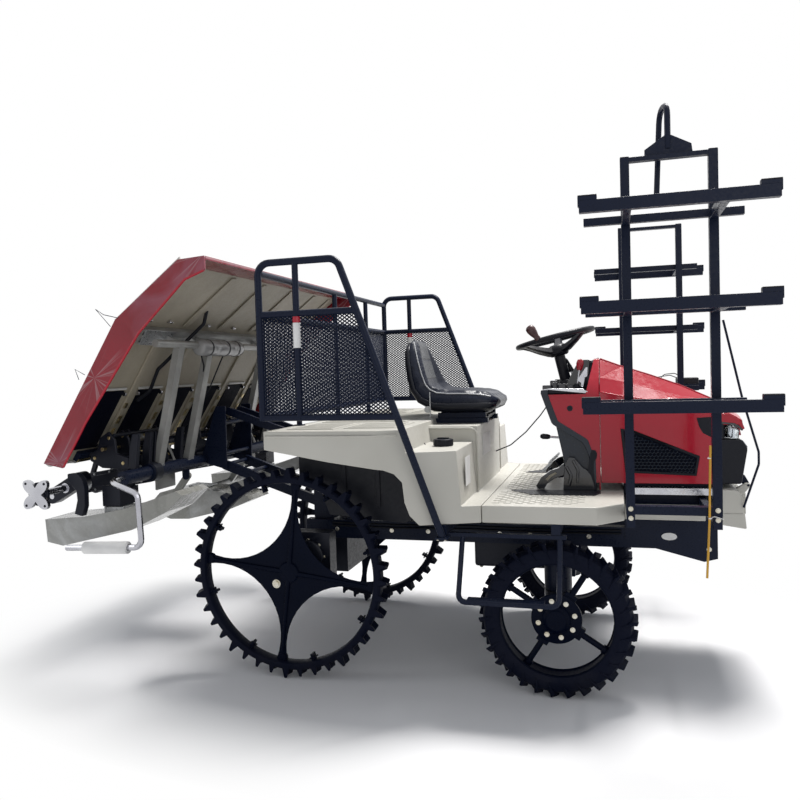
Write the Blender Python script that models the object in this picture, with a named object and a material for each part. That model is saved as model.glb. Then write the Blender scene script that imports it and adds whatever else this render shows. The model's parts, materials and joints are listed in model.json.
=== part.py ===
"""Six-row riding rice transplanter, parked with its planting unit raised.

Metres, +Z up, +X forward, +Y to the machine's left. Every size below is written
from the rear axle's centre on the ground; one parent empty then shifts the whole
machine so that its box is centred on the origin.
"""
import math
import bmesh
import bpy
from mathutils import Matrix, Vector

# Gaps
GAP = 0.0003
PIN_GAP = 0.0006
RUN_GAP = 0.006

# Overall reach, which sets where the origin lies
RACK_REACH = 1.080
MARKER_X = 1.984
MARKER_R = 0.005

# Rear wheels
REAR_TIP_R = 0.477
REAR_ROOT_R = 0.437
REAR_INNER_R = 0.404
REAR_TREAD_W = 0.064
REAR_OUTER_Y = 0.604
REAR_LUGS = 40
REAR_HUB_R = 0.048
AXLE_R = 0.042

# Front wheels
WHEELBASE = 1.175
FRONT_TIP_R = 0.325
FRONT_ROOT_R = 0.296
FRONT_INNER_R = 0.230
FRONT_TREAD_W = 0.100
FRONT_OUTER_Y = 0.573
FRONT_LUGS = 34
FRONT_FLANGE_R = 0.098
FRONT_HUB_R = 0.050
KINGPIN_Y = 0.398
KNUCKLE_R = 0.058
SPOKE_R = 0.013

# Where an axle or knuckle ends and its wheel's hub begins
AXLE_END_Y = 0.500
KNUCKLE_END_Y = 0.468

# Chassis
RAIL_IN_Y = 0.165
RAIL_OUT_Y = 0.215
RAIL_LOW_Z = 0.556
RAIL_TOP_Z = 0.645
RAIL_REAR_X = -0.060
FRONT_PLATE_X = 1.455
FRONT_END_X = 1.835
FRONT_PLATE_TOP_Z = 0.842
FRONT_PLATE_LOW_Z = 0.505
AXLE_CASE_HALF = 0.060
TRANSMISSION_FRONT_X = WHEELBASE - AXLE_CASE_HALF - 0.010
TRANSMISSION_REAR_X = TRANSMISSION_FRONT_X - 0.335
OUTRIGGER_XS = (0.745, 1.190)
OUTRIGGER_W = 0.036
OUTRIGGER_Z = 0.700

# Floor and rear body
FLOOR_Z = 0.815
FLOOR_LOW_Z = 0.744
FLOOR_HALF_Y = 0.670
FLOOR_REAR_X = 0.896
FLOOR_FRONT_X = 1.452
FLOOR_CHAMFER_X = 1.347
FLOOR_CHAMFER_Y = 0.560
WALL = 0.014
DECK_Z = 1.132
DECK_REAR_X = 0.020
DECK_HALF_Y = 0.820
DECK_FRONT_X = 0.600
BOX_TOP_Z = 1.040
BOX_FRONT_X = 0.815
PEDESTAL_Z = 1.110
PEDESTAL_HALF_Y = 0.330
PEDESTAL_REAR_X = 0.560

# Seat
SEAT_HALF_Y = 0.235
SEAT_LOW_Z = 1.168

# Guard rails round the rear deck
TUBE_R = 0.0145
GUARD_Y = DECK_HALF_Y + 0.045
GUARD_REAR_X = 0.045
GUARD_TOP_Z = 1.815
GUARD_MID_Z = 1.608
GUARD_LOW_Z = 1.190
GUARD_BEND_X = 0.385
GUARD_SLANT_X = 0.612
GUARD_FOOT = (0.752, 0.748, 0.697)
GUARD_POST_X = 0.208
MESH_T = 0.004

# Hood, cowl and nose
HOOD_HALF_Y = 0.270
HOOD_WALL = 0.012
# Along the hood: x, height of the side crease, of the band above it, of the top ridge
HOOD_STATIONS = (
    (1.360, 1.246, 1.311, 1.395), (1.455, 1.226, 1.289, 1.358), (1.570, 1.208, 1.257, 1.318),
    (1.695, 1.194, 1.222, 1.270), (1.836, 1.176, 1.188, 1.203), (1.930, 1.118, 1.128, 1.140),
    (1.950, 1.010, 1.025, 1.040))
HOOD_SPLIT_X = 1.360
HOOD_LOW_Z = 0.850
HOOD_HINGE = (1.958, 0.838)
COWL_CHIN = (1.175, 1.120)
COWL_KNEE = (1.300, 1.040)
COWL_FOOT = (1.340, FLOOR_Z + GAP)
FRONT_BOX_X = 1.845
FRONT_BOX_TOP = 1.040
LAMP_X = 1.856
LAMP_TOP = 1.100
LAMP_INNER_Y = 0.100
GRILLE_DEPTH = 0.005
DASH_Z = 1.240
DASH_T = 0.022

# Steering wheel
STEER_CENTRE = (1.155, 0.0, 1.497)
STEER_AXIS = (-0.223, 0.0, 0.975)
STEER_R = 0.178
STEER_RIM_R = 0.012

# Seedling racks at both sides of the hood
RACK_POST_XS = (1.472, 1.772)
RACK_POST_W = 0.032
RACK_Y = 0.745
RACK_TOP_Z = 2.115
RACK_LOW_Z = 0.853
RACK_ARM_Z = 0.790
SHELF_ZS = (1.222, 1.556, 1.888)
SHELF_X0 = 1.320
SHELF_X1 = 1.928
SHELF_BAR_W = 0.030
SHELF_BAR_H = 0.040
HOOP_TOP_Z = 2.310

# Lift links, a parallelogram seen from the side (x, z)
LOWER_PIN = (0.020, 0.700)
UPPER_PIN = (0.020, 0.980)
LINK_REACH = (-0.570, 0.200)
LINK_Y = 0.105
LINK_W = 0.024
LINK_PIN_R = 0.012
LEVER_TIP = (0.070, 0.860)
CYLINDER_PIN = (0.500, 0.820)
CYLINDER_R = 0.032
ROD_R = 0.014

# Planting unit
UNIT_BEAM = (-0.665, 0.930)
UNIT_BEAM_R = 0.032
UNIT_HALF_Y = 0.820
CASE_YS = (-0.600, 0.0, 0.600)
CASE_W = 0.060
ROTOR = (-1.010, 0.875)
ROTOR_R = 0.118
ROTOR_BLADE_R = 0.034
ROTOR_TILT = 0.5
SHAFT_R = 0.016
ROTOR_Y = 0.150
ROTOR_W = 0.050
PLATFORM_HALF_Y = 0.915
PLATFORM_SHIFT = 0.140
COVER_T = 0.012
FLOAT_YS = (-0.730, 0.0, 0.730)
FLOAT_HALF_Y = 0.110
FLOAT_ARM_Y = 0.300
FLOAT_PIN = (-0.665, 0.868)
SHEET_LOW = (-0.982, 0.998)
SHEET_BEND = (-0.586, 1.606)
POST_YS = (-0.560, -0.300, 0.300, 0.560)
STAR_Y = 0.342
STAR_R = 0.084


def world_collection(name):
    collection = bpy.data.collections.new(name)
    bpy.context.scene.collection.children.link(collection)
    return collection


for old in list(bpy.data.objects):
    bpy.data.objects.remove(old, do_unlink=True)

PARTS = world_collection("rice_transplanter")
CUTTERS = world_collection("cutters")
CUTTERS.hide_render = True

# Paint, plastic and metal of the machine: colour, roughness, metallic
FINISHES = {
    "black_paint": ((0.012, 0.014, 0.022), 0.42, 0.0),
    "tyre": ((0.010, 0.011, 0.016), 0.75, 0.0),
    "ivory_plastic": ((0.62, 0.61, 0.56), 0.45, 0.0),
    "red_paint": ((0.50, 0.012, 0.020), 0.25, 0.0),
    "black_plastic": ((0.014, 0.015, 0.020), 0.50, 0.0),
    "black_vinyl": ((0.016, 0.018, 0.028), 0.45, 0.0),
    "grey_casting": ((0.20, 0.20, 0.20), 0.55, 0.6),
    "grey_plastic": ((0.38, 0.36, 0.31), 0.55, 0.0),
    "bright_steel": ((0.60, 0.60, 0.62), 0.25, 1.0),
    "lamp_glass": ((0.80, 0.82, 0.85), 0.08, 0.0),
}


def make_finish(name):
    colour, roughness, metallic = FINISHES[name]
    material = bpy.data.materials.new(name)
    material.use_nodes = True
    shader = material.node_tree.nodes["Principled BSDF"]
    shader.inputs["Base Color"].default_value = (*colour, 1.0)
    shader.inputs["Roughness"].default_value = roughness
    shader.inputs["Metallic"].default_value = metallic
    return material


MATERIALS = {name: make_finish(name) for name in FINISHES}

FRONT_REACH = MARKER_X + MARKER_R
REAR_REACH = (ROTOR_R - ROTOR_BLADE_R) * math.cos(ROTOR_TILT) + ROTOR_BLADE_R - ROTOR[0]
SHIFT = bpy.data.objects.new("rear_axle_origin", None)
SHIFT.location = ((REAR_REACH - FRONT_REACH) / 2, 0.0, 0.0)
PARTS.objects.link(SHIFT)


def mesh_object(name, mesh):
    """A new object from a mesh whose points are already in place."""
    obj = bpy.data.objects.new(name, mesh)
    CUTTERS.objects.link(obj)
    return obj


def from_bmesh(name, bm):
    mesh = bpy.data.meshes.new(name)
    bmesh.ops.recalc_face_normals(bm, faces=bm.faces)
    bm.to_mesh(mesh)
    bm.free()
    return mesh_object(name, mesh)


def box(low, high):
    """A box between two corners."""
    bm = bmesh.new()
    bmesh.ops.create_cube(bm, size=1.0)
    size = Vector(high) - Vector(low)
    middle = (Vector(high) + Vector(low)) / 2
    bmesh.ops.scale(bm, vec=size, verts=bm.verts)
    bmesh.ops.translate(bm, vec=middle, verts=bm.verts)
    return from_bmesh("box", bm)


def rod(start, end, radius, sides=12, end_radius=None):
    """A straight round bar or cone between two points."""
    start, end = Vector(start), Vector(end)
    along = end - start
    bm = bmesh.new()
    bmesh.ops.create_cone(bm, cap_ends=True, segments=sides, radius1=radius,
                          radius2=radius if end_radius is None else end_radius,
                          depth=along.length)
    turn = along.to_track_quat("Z", "Y").to_matrix().to_4x4()
    bmesh.ops.transform(bm, matrix=Matrix.Translation((start + end) / 2) @ turn, verts=bm.verts)
    return from_bmesh("rod", bm)


def curve_to_mesh(curve):
    """A mesh object made from a curve object, its caps welded."""
    CUTTERS.objects.link(curve)
    bpy.context.view_layer.update()
    seen = curve.evaluated_get(bpy.context.evaluated_depsgraph_get())
    mesh = bpy.data.meshes.new_from_object(seen)
    bm = bmesh.new()
    bm.from_mesh(mesh)
    bmesh.ops.remove_doubles(bm, verts=bm.verts, dist=0.00005)
    bmesh.ops.transform(bm, matrix=curve.matrix_world, verts=bm.verts)
    bpy.data.objects.remove(curve, do_unlink=True)
    return from_bmesh("from_curve", bm)


def rounded(points, radius, steps=4):
    """The points of a path whose corners are turned at a radius."""
    path = [Vector(points[0])]
    for before, corner, after in zip(points, points[1:], points[2:]):
        corner = Vector(corner)
        back = (Vector(before) - corner).normalized()
        ahead = (Vector(after) - corner).normalized()
        half_angle = back.angle(ahead) / 2
        reach = radius / math.tan(half_angle)
        centre = corner + (back + ahead).normalized() * radius / math.sin(half_angle)
        first = (corner + back * reach - centre).normalized()
        last = (corner + ahead * reach - centre).normalized()
        for step in range(steps + 1):
            path.append(centre + first.slerp(last, step / steps) * radius)
    path.append(Vector(points[-1]))
    return path


def tube(points, radius, corner=None, sides=2, steps=4):
    """A round tube along a path, its corners turned at a radius."""
    path = rounded(points, corner, steps) if corner else [Vector(p) for p in points]
    data = bpy.data.curves.new("tube", "CURVE")
    data.dimensions = "3D"
    data.bevel_depth = radius
    data.bevel_resolution = sides
    data.use_fill_caps = True
    spline = data.splines.new("POLY")
    spline.points.add(len(path) - 1)
    for place, point in zip(spline.points, path):
        place.co = (*point, 1.0)
    return curve_to_mesh(bpy.data.objects.new("tube", data))


# Turns of a flat outline: side view (x, z), plan (x, y) and front view (y, z)
SIDE = Matrix(((1, 0, 0, 0), (0, 0, -1, 0), (0, 1, 0, 0), (0, 0, 0, 1)))
PLAN = Matrix.Identity(4)
FRONT = Matrix(((0, 0, 1, 0), (1, 0, 0, 0), (0, 1, 0, 0), (0, 0, 0, 1)))


def plate(outlines, low, high, view=SIDE):
    """A plate cut to one or more flat outlines, between two depths on its own axis."""
    data = bpy.data.curves.new("plate", "CURVE")
    data.dimensions = "2D"
    data.fill_mode = "BOTH"
    data.extrude = (high - low) / 2
    for outline in outlines:
        spline = data.splines.new("POLY")
        spline.points.add(len(outline) - 1)
        for place, (u, v) in zip(spline.points, outline):
            place.co = (u, v, 0.0, 1.0)
        spline.use_cyclic_u = True
    obj = bpy.data.objects.new("plate", data)
    depth = (low + high) / 2
    if view is SIDE:
        depth = -depth
    obj.matrix_world = view @ Matrix.Translation((0.0, 0.0, depth))
    return curve_to_mesh(obj)


def ring_points(radius, count, centre=(0.0, 0.0), start=0.0):
    return [(centre[0] + radius * math.cos(start + math.tau * i / count),
             centre[1] + radius * math.sin(start + math.tau * i / count)) for i in range(count)]


def boolean(target, tool, operation):
    """Union, difference or intersection of two closed meshes, applied at once."""
    modifier = target.modifiers.new("cut", "BOOLEAN")
    modifier.operation = operation
    modifier.object = tool
    modifier.solver = "EXACT"
    bpy.context.view_layer.update()
    seen = target.evaluated_get(bpy.context.evaluated_depsgraph_get())
    mesh = bpy.data.meshes.new_from_object(seen)
    target.modifiers.clear()
    target.data = mesh
    bpy.data.objects.remove(tool, do_unlink=True)
    return target


def unite(pieces):
    whole = pieces[0]
    for piece in pieces[1:]:
        whole = boolean(whole, piece, "UNION")
    return whole


def cut(target, tools):
    for tool in tools:
        target = boolean(target, tool, "DIFFERENCE")
    return target


def mirrored(obj):
    """A copy of a mesh on the other side of the machine."""
    bm = bmesh.new()
    bm.from_mesh(obj.data)
    bmesh.ops.scale(bm, vec=(1.0, -1.0, 1.0), verts=bm.verts)
    bmesh.ops.reverse_faces(bm, faces=bm.faces)
    return from_bmesh("mirrored", bm)


def place(name, obj, finish, origin=(0.0, 0.0, 0.0), smooth=30.0):
    """Name a finished piece, set its origin on its joint and hang it on the machine."""
    obj.name = name
    obj.data.name = name
    obj.data.transform(Matrix.Translation(-Vector(origin)))
    obj.location = origin
    obj.parent = SHIFT
    obj.data.materials.clear()
    obj.data.materials.append(MATERIALS[finish])
    obj.data.shade_smooth()
    obj.data.set_sharp_from_angle(angle=math.radians(smooth))
    CUTTERS.objects.unlink(obj)
    PARTS.objects.link(obj)
    return obj


def both_sides(name, obj, finish, origin=(0.0, 0.0, 0.0)):
    """Place a right-hand piece and its mirror image on the left."""
    twin = mirrored(obj)
    place(name + "_right", obj, finish, origin)
    place(name + "_left", twin, finish, (origin[0], -origin[1], origin[2]))


def tread_outline(tip, root, lugs, centre):
    """A tyre's side view, with pointed lugs between short flats."""
    # Share of one pitch, radius
    tooth = ((0.00, root), (0.30, root), (0.52, tip), (0.66, tip))
    return [(centre[0] + radius * math.cos(math.tau * (lug + share) / lugs),
             centre[1] + radius * math.sin(math.tau * (lug + share) / lugs))
            for lug in range(lugs) for share, radius in tooth]


def rear_wheel():
    centre = (0.0, REAR_TIP_R)
    outer = -REAR_OUTER_Y
    inner = outer + REAR_TREAD_W
    tread = plate([tread_outline(REAR_TIP_R, REAR_ROOT_R, REAR_LUGS, centre),
                   ring_points(REAR_INNER_R, 48, centre)], outer, inner)
    # Four-armed star disc: arms run out to the rim, arcs of circles between them
    reach = REAR_INNER_R + 0.012
    arm_half = 0.030
    waist = 0.140
    star = []
    for arm in range(4):
        angle = math.tau * arm / 4
        for along, across in ((reach, -arm_half), (reach, arm_half)):
            star.append((centre[0] + along * math.cos(angle) - across * math.sin(angle),
                         centre[1] + along * math.sin(angle) + across * math.cos(angle)))
        for share in (0.2, 0.4, 0.6, 0.8):
            turn = angle + math.tau / 4 * share
            bow = waist + (reach - waist) * abs(2 * share - 1) ** 2.0 * 0.9
            star.append((centre[0] + bow * math.cos(turn), centre[1] + bow * math.sin(turn)))
    disc = plate([star], outer + 0.028, outer + 0.036)
    hub = rod((centre[0], -AXLE_END_Y - GAP, centre[1]), (centre[0], outer - 0.004, centre[1]),
              REAR_HUB_R, 16)
    return unite([tread, disc, hub])


def front_wheel():
    centre = (WHEELBASE, FRONT_TIP_R)
    outer = -FRONT_OUTER_Y
    inner = outer + FRONT_TREAD_W
    tread = plate([tread_outline(FRONT_TIP_R, FRONT_ROOT_R, FRONT_LUGS, centre),
                   ring_points(FRONT_INNER_R, 40, centre)], outer, inner)
    middle = (outer + inner) / 2
    hub_y = outer + 0.010
    flange = rod((centre[0], middle + 0.020, centre[1]), (centre[0], middle, centre[1]),
                 FRONT_FLANGE_R, 24)
    hub = rod((centre[0], -KNUCKLE_END_Y - GAP, centre[1]), (centre[0], hub_y, centre[1]),
              FRONT_HUB_R, 16)
    pieces = [tread, flange, hub]
    for spoke in range(4):
        angle = math.tau * (spoke + 0.64) / 4
        way = Vector((math.cos(angle), 0.0, math.sin(angle)))
        base = Vector((centre[0], middle + 0.010, centre[1]))
        pieces.append(rod(base + way * (FRONT_FLANGE_R - 0.020),
                          base + way * (FRONT_INNER_R + 0.015), SPOKE_R, 8))
    return unite(pieces)


def wheels_and_axles():
    both_sides("rear_wheel", rear_wheel(), "tyre", (0.0, -REAR_OUTER_Y, REAR_TIP_R))
    both_sides("front_wheel", front_wheel(), "tyre", (WHEELBASE, -FRONT_OUTER_Y, FRONT_TIP_R))

    axle = unite([
        rod((0.0, -AXLE_END_Y, REAR_TIP_R), (0.0, AXLE_END_Y, REAR_TIP_R), AXLE_R, 16),
        box((-0.110, -RAIL_OUT_Y, 0.390), (0.150, RAIL_OUT_Y, RAIL_LOW_Z - GAP)),
        box((-0.045, -0.485, 0.425), (0.165, -0.405, 0.640)),
        box((-0.045, 0.405, 0.425), (0.165, 0.485, 0.640)),
    ])
    place("rear_axle", axle, "black_paint")

    pin_low = 0.412
    pin_top = 0.530
    beam_z = 0.465
    beam = unite([
        rod((WHEELBASE, -KINGPIN_Y, beam_z), (WHEELBASE, KINGPIN_Y, beam_z), 0.038, 12),
        rod((WHEELBASE, -KINGPIN_Y, pin_low), (WHEELBASE, -KINGPIN_Y, pin_top), KNUCKLE_R, 16),
        rod((WHEELBASE, KINGPIN_Y, pin_low), (WHEELBASE, KINGPIN_Y, pin_top), KNUCKLE_R, 16),
        box((WHEELBASE - AXLE_CASE_HALF, -RAIL_IN_Y + GAP, 0.400),
            (WHEELBASE + AXLE_CASE_HALF, RAIL_IN_Y - GAP, 0.600)),
    ])
    place("front_axle", beam, "black_paint")

    knuckle = unite([
        rod((WHEELBASE, -KINGPIN_Y, 0.262), (WHEELBASE, -KINGPIN_Y, pin_low - PIN_GAP),
            KNUCKLE_R, 16),
        rod((WHEELBASE, -KINGPIN_Y, FRONT_TIP_R), (WHEELBASE, -KNUCKLE_END_Y, FRONT_TIP_R),
            0.046, 16),
    ])
    both_sides("knuckle", knuckle, "black_paint", (WHEELBASE, -KINGPIN_Y, FRONT_TIP_R))


def chassis():
    plate_in = RAIL_OUT_Y - 0.012
    pieces = []
    for side in (-1, 1):
        near, far = sorted((side * RAIL_IN_Y, side * RAIL_OUT_Y))
        pieces.append(box((RAIL_REAR_X, near, RAIL_LOW_Z), (FRONT_END_X, far, RAIL_TOP_Z)))
        near, far = sorted((side * plate_in, side * (RAIL_OUT_Y + 0.003)))
        pieces.append(plate([[(FRONT_PLATE_X, 0.590), (FRONT_PLATE_X, FRONT_PLATE_TOP_Z),
                              (FRONT_END_X, FRONT_PLATE_TOP_Z), (FRONT_END_X, 0.520),
                              (1.780, FRONT_PLATE_LOW_Z)]],
                            near, far))
    half = RAIL_IN_Y + 0.010
    for x in (0.060, CYLINDER_PIN[0] - 0.025, TRANSMISSION_REAR_X - 0.070, FRONT_END_X - 0.060):
        pieces.append(box((x, -half, RAIL_LOW_Z + 0.008), (x + 0.050, half, RAIL_TOP_Z - 0.008)))
    frame = unite(pieces)
    outriggers = []
    for x, half_y in zip(OUTRIGGER_XS, (GUARD_FOOT[1] - TUBE_R - 0.001, FLOOR_HALF_Y - 0.006)):
        low_x, high_x = x - OUTRIGGER_W / 2, x + OUTRIGGER_W / 2
        outriggers.append(box((low_x, -half_y, OUTRIGGER_Z), (high_x, half_y, FLOOR_LOW_Z - GAP)))
        for side in (-1, 1):
            near, far = sorted((side * (RAIL_IN_Y + 0.008), side * (RAIL_OUT_Y - 0.008)))
            outriggers.append(box((low_x + 0.004, near, RAIL_TOP_Z - 0.010),
                                  (high_x - 0.004, far, OUTRIGGER_Z + 0.010)))
    # Uprights that carry the links' pins and the rear deck
    deck_low = DECK_Z - WALL
    for side in (-1, 1):
        near, far = sorted((side * (RAIL_IN_Y + 0.006), side * (RAIL_IN_Y + 0.018)))
        outriggers.append(box((-0.030, near, RAIL_TOP_Z - 0.010), (0.070, far, deck_low - 0.075)))
    outriggers.append(box((0.042, -0.560, deck_low - 0.080), (0.066, 0.560, deck_low - GAP)))
    # Ears that carry the lift cylinder's pivot
    ear_y = CYLINDER_R + PIN_GAP
    for side in (-1, 1):
        near, far = sorted((side * ear_y, side * (ear_y + 0.010)))
        outriggers.append(box((CYLINDER_PIN[0] - 0.022, near, RAIL_TOP_Z - 0.020),
                              (CYLINDER_PIN[0] + 0.022, far, CYLINDER_PIN[1] + 0.022)))
    frame = unite([frame] + outriggers)
    place("frame", frame, "black_paint")
    place("transmission", box((TRANSMISSION_REAR_X, -RAIL_IN_Y + GAP, 0.430),
                              (TRANSMISSION_FRONT_X, RAIL_IN_Y - GAP, 0.620)), "grey_casting")
    place("engine", box((FLOOR_FRONT_X + 0.008, -RAIL_IN_Y + GAP, 0.600),
                        (FRONT_END_X - 0.070, RAIL_IN_Y - GAP, 1.090)), "grey_casting")


def floor():
    outline = [(FLOOR_REAR_X + 0.002, -FLOOR_HALF_Y), (FLOOR_CHAMFER_X, -FLOOR_HALF_Y),
               (FLOOR_FRONT_X, -FLOOR_CHAMFER_Y), (FLOOR_FRONT_X, FLOOR_CHAMFER_Y),
               (FLOOR_CHAMFER_X, FLOOR_HALF_Y), (FLOOR_REAR_X + 0.002, FLOOR_HALF_Y)]
    slab = plate([outline], FLOOR_LOW_Z, FLOOR_Z, PLAN)
    under = box((FLOOR_REAR_X + 0.002 + WALL, -FLOOR_CHAMFER_Y + WALL, FLOOR_LOW_Z - 0.010),
                (FLOOR_FRONT_X - WALL, FLOOR_CHAMFER_Y - WALL, FLOOR_Z - WALL))
    slab = cut(slab, [under])
    place("floor", slab, "ivory_plastic")


def rear_body():
    side = [(DECK_REAR_X, 1.055), (DECK_REAR_X, DECK_Z), (DECK_FRONT_X, DECK_Z),
            (DECK_FRONT_X + 0.018, BOX_TOP_Z), (BOX_FRONT_X - 0.008, BOX_TOP_Z),
            (BOX_FRONT_X + 0.006, FLOOR_Z), (FLOOR_REAR_X, FLOOR_Z),
            (FLOOR_REAR_X, FLOOR_LOW_Z), (0.660, FLOOR_LOW_Z), (0.625, 0.785),
            (0.607, 0.840), (0.600, 0.920), (0.570, 0.955), (0.530, 0.972), (0.300, 1.005)]
    taper_x = 0.500
    plan = [(DECK_REAR_X - 0.010, -DECK_HALF_Y), (taper_x, -DECK_HALF_Y),
            (FLOOR_REAR_X, -FLOOR_HALF_Y), (FLOOR_REAR_X + 0.010, -FLOOR_HALF_Y),
            (FLOOR_REAR_X + 0.010, FLOOR_HALF_Y), (FLOOR_REAR_X, FLOOR_HALF_Y),
            (taper_x, DECK_HALF_Y), (DECK_REAR_X - 0.010, DECK_HALF_Y)]
    body = boolean(plate([side], -DECK_HALF_Y - 0.02, DECK_HALF_Y + 0.02),
                   plate([plan], FLOOR_LOW_Z - 0.02, DECK_Z + 0.02, PLAN), "INTERSECT")
    pedestal = box((PEDESTAL_REAR_X, -PEDESTAL_HALF_Y, FLOOR_Z - 0.030),
                   (BOX_FRONT_X + 0.014, PEDESTAL_HALF_Y, PEDESTAL_Z))
    body = unite([body, pedestal])
    inner = [(DECK_REAR_X + WALL, 0.600), (DECK_REAR_X + WALL, DECK_Z - WALL),
             (DECK_FRONT_X - WALL, DECK_Z - WALL), (DECK_FRONT_X + 0.018 - WALL, BOX_TOP_Z - WALL),
             (BOX_FRONT_X - 0.008 - WALL, BOX_TOP_Z - WALL),
             (BOX_FRONT_X + 0.006 - WALL, FLOOR_Z - WALL),
             (FLOOR_REAR_X - WALL, FLOOR_Z - WALL), (FLOOR_REAR_X - WALL, 0.600)]
    inner_plan = [(x, y - math.copysign(WALL, y)) for x, y in plan]
    hollow = boolean(plate([inner], -DECK_HALF_Y - 0.03, DECK_HALF_Y + 0.03),
                     plate([inner_plan], 0.500, DECK_Z + 0.03, PLAN), "INTERSECT")
    well = box((PEDESTAL_REAR_X + WALL, -PEDESTAL_HALF_Y + WALL, FLOOR_Z - 0.060),
               (BOX_FRONT_X + 0.014 - WALL, PEDESTAL_HALF_Y - WALL, PEDESTAL_Z - WALL))
    body = cut(body, [hollow, well])
    place("rear_body", body, "ivory_plastic")
    cap_y = -0.520
    place("tank_cap", rod((0.715, cap_y, BOX_TOP_Z + GAP), (0.715, cap_y, BOX_TOP_Z + 0.030),
                          0.042, 16), "black_plastic")


def seat():
    profile = [(0.470, 1.515), (0.440, 1.480), (0.470, 1.300), (0.500, 1.200), (0.540, SEAT_LOW_Z),
               (0.860, SEAT_LOW_Z), (0.905, 1.195), (0.915, 1.235), (0.880, 1.255),
               (0.620, 1.235), (0.575, 1.270), (0.540, 1.420), (0.510, 1.510)]
    top = [(SEAT_HALF_Y, SEAT_LOW_Z - 0.010), (SEAT_HALF_Y, 1.330), (SEAT_HALF_Y - 0.020, 1.420),
           (SEAT_HALF_Y - 0.075, 1.500), (SEAT_HALF_Y - 0.120, 1.525)]
    plan = [(0.430, SEAT_HALF_Y), (0.840, SEAT_HALF_Y), (0.895, SEAT_HALF_Y - 0.050),
            (0.925, SEAT_HALF_Y - 0.120)]
    cushion = plate([profile], -SEAT_HALF_Y - 0.010, SEAT_HALF_Y + 0.010)
    for half, view, low, high in ((top, FRONT, 0.400, 1.000), (plan, PLAN, 1.100, 1.600)):
        if view is FRONT:
            outline = [(-y, z) for y, z in half] + [(y, z) for y, z in reversed(half)]
        else:
            outline = [(x, -y) for x, y in half] + [(x, y) for x, y in reversed(half)]
        cushion = boolean(cushion, plate([outline], low, high, view), "INTERSECT")
    place("seat", cushion, "black_vinyl")
    place("seat_mount", box((0.625, -0.130, PEDESTAL_Z + GAP), (0.805, 0.130, SEAT_LOW_Z - GAP)),
          "black_paint")


def guard():
    y = -GUARD_Y
    low = Vector((GUARD_SLANT_X, y, GUARD_LOW_Z))
    top = Vector((GUARD_BEND_X, y, GUARD_TOP_Z))
    foot = (GUARD_FOOT[0], -GUARD_FOOT[1], GUARD_FOOT[2])
    mid = top.lerp(low, (GUARD_TOP_Z - GUARD_MID_Z) / (GUARD_TOP_Z - GUARD_LOW_Z))
    rail_r = TUBE_R - 0.001
    pieces = [tube([(GUARD_REAR_X, y, GUARD_LOW_Z - 0.010), (GUARD_REAR_X, y, GUARD_TOP_Z),
                    tuple(top), tuple(low), foot], TUBE_R, 0.050),
              box((OUTRIGGER_XS[0] - 0.018, -GUARD_FOOT[1] - 0.020, OUTRIGGER_Z - GAP - 0.008),
                  (OUTRIGGER_XS[0] + 0.030, -GUARD_FOOT[1] + 0.046, OUTRIGGER_Z - GAP)),
              rod((GUARD_REAR_X, y, GUARD_LOW_Z + 0.001), low, rail_r, 12),
              rod((GUARD_REAR_X, y, GUARD_MID_Z), mid, rail_r, 12),
              rod((GUARD_POST_X, y, GUARD_LOW_Z), (GUARD_POST_X, y, GUARD_TOP_Z), rail_r, 12),
              plate([[(GUARD_REAR_X, GUARD_LOW_Z), (GUARD_REAR_X, GUARD_MID_Z),
                      (mid.x - 0.004, GUARD_MID_Z), (low.x - 0.004, GUARD_LOW_Z)]],
                    y - MESH_T / 2, y + MESH_T / 2)]
    both_sides("guard", unite(pieces), "black_paint", (GUARD_REAR_X, y, GUARD_LOW_Z))
    half = GUARD_Y - TUBE_R - GAP
    rear = []
    for z in (GUARD_TOP_Z - 0.040, GUARD_MID_Z, GUARD_LOW_Z):
        rear.append(rod((GUARD_REAR_X, -half, z), (GUARD_REAR_X, half, z), TUBE_R - 0.001, 12))
    rear.append(plate([[(-half + 0.02, GUARD_LOW_Z), (half - 0.02, GUARD_LOW_Z),
                        (half - 0.02, GUARD_MID_Z), (-half + 0.02, GUARD_MID_Z)]],
                      GUARD_REAR_X - MESH_T / 2, GUARD_REAR_X + MESH_T / 2, FRONT))
    for y in (-0.500, 0.0, 0.500):
        rear.append(rod((GUARD_REAR_X, y, DECK_Z + GAP), (GUARD_REAR_X, y, GUARD_TOP_Z - 0.040),
                        TUBE_R - 0.002, 12))
    place("guard_rear", unite(rear), "black_paint")


def loft(sections):
    """A closed form through front-view sections (y, z), one at each x."""
    bm = bmesh.new()
    rings = [[bm.verts.new((x, y, z)) for y, z in section] for x, section in sections]
    count = len(rings[0])
    for ring, onward in zip(rings, rings[1:]):
        for i in range(count):
            bm.faces.new((ring[i], ring[(i + 1) % count], onward[(i + 1) % count], onward[i]))
    bm.faces.new(rings[0])
    bm.faces.new(rings[-1])
    return from_bmesh("loft", bm)


def hood_section(crease, band, ridge, wall=0.0):
    """Front view of the hood at one station, or of the hollow inside its wall."""
    low = HOOD_LOW_Z - 2 * wall
    half = [(HOOD_HALF_Y - wall, low), (HOOD_HALF_Y - wall, crease - 0.030 - wall * 0.3),
            (HOOD_HALF_Y - 0.008 - wall * 0.9, crease - wall * 0.6),
            (HOOD_HALF_Y - 0.058 - wall * 0.8, band - wall * 0.8),
            (HOOD_HALF_Y - 0.130 - wall * 0.6, ridge - 0.004 - wall),
            (HOOD_HALF_Y - 0.180 - wall * 0.5, ridge - wall)]
    return [(-y, z) for y, z in half] + [(y, z) for y, z in reversed(half)]


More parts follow.
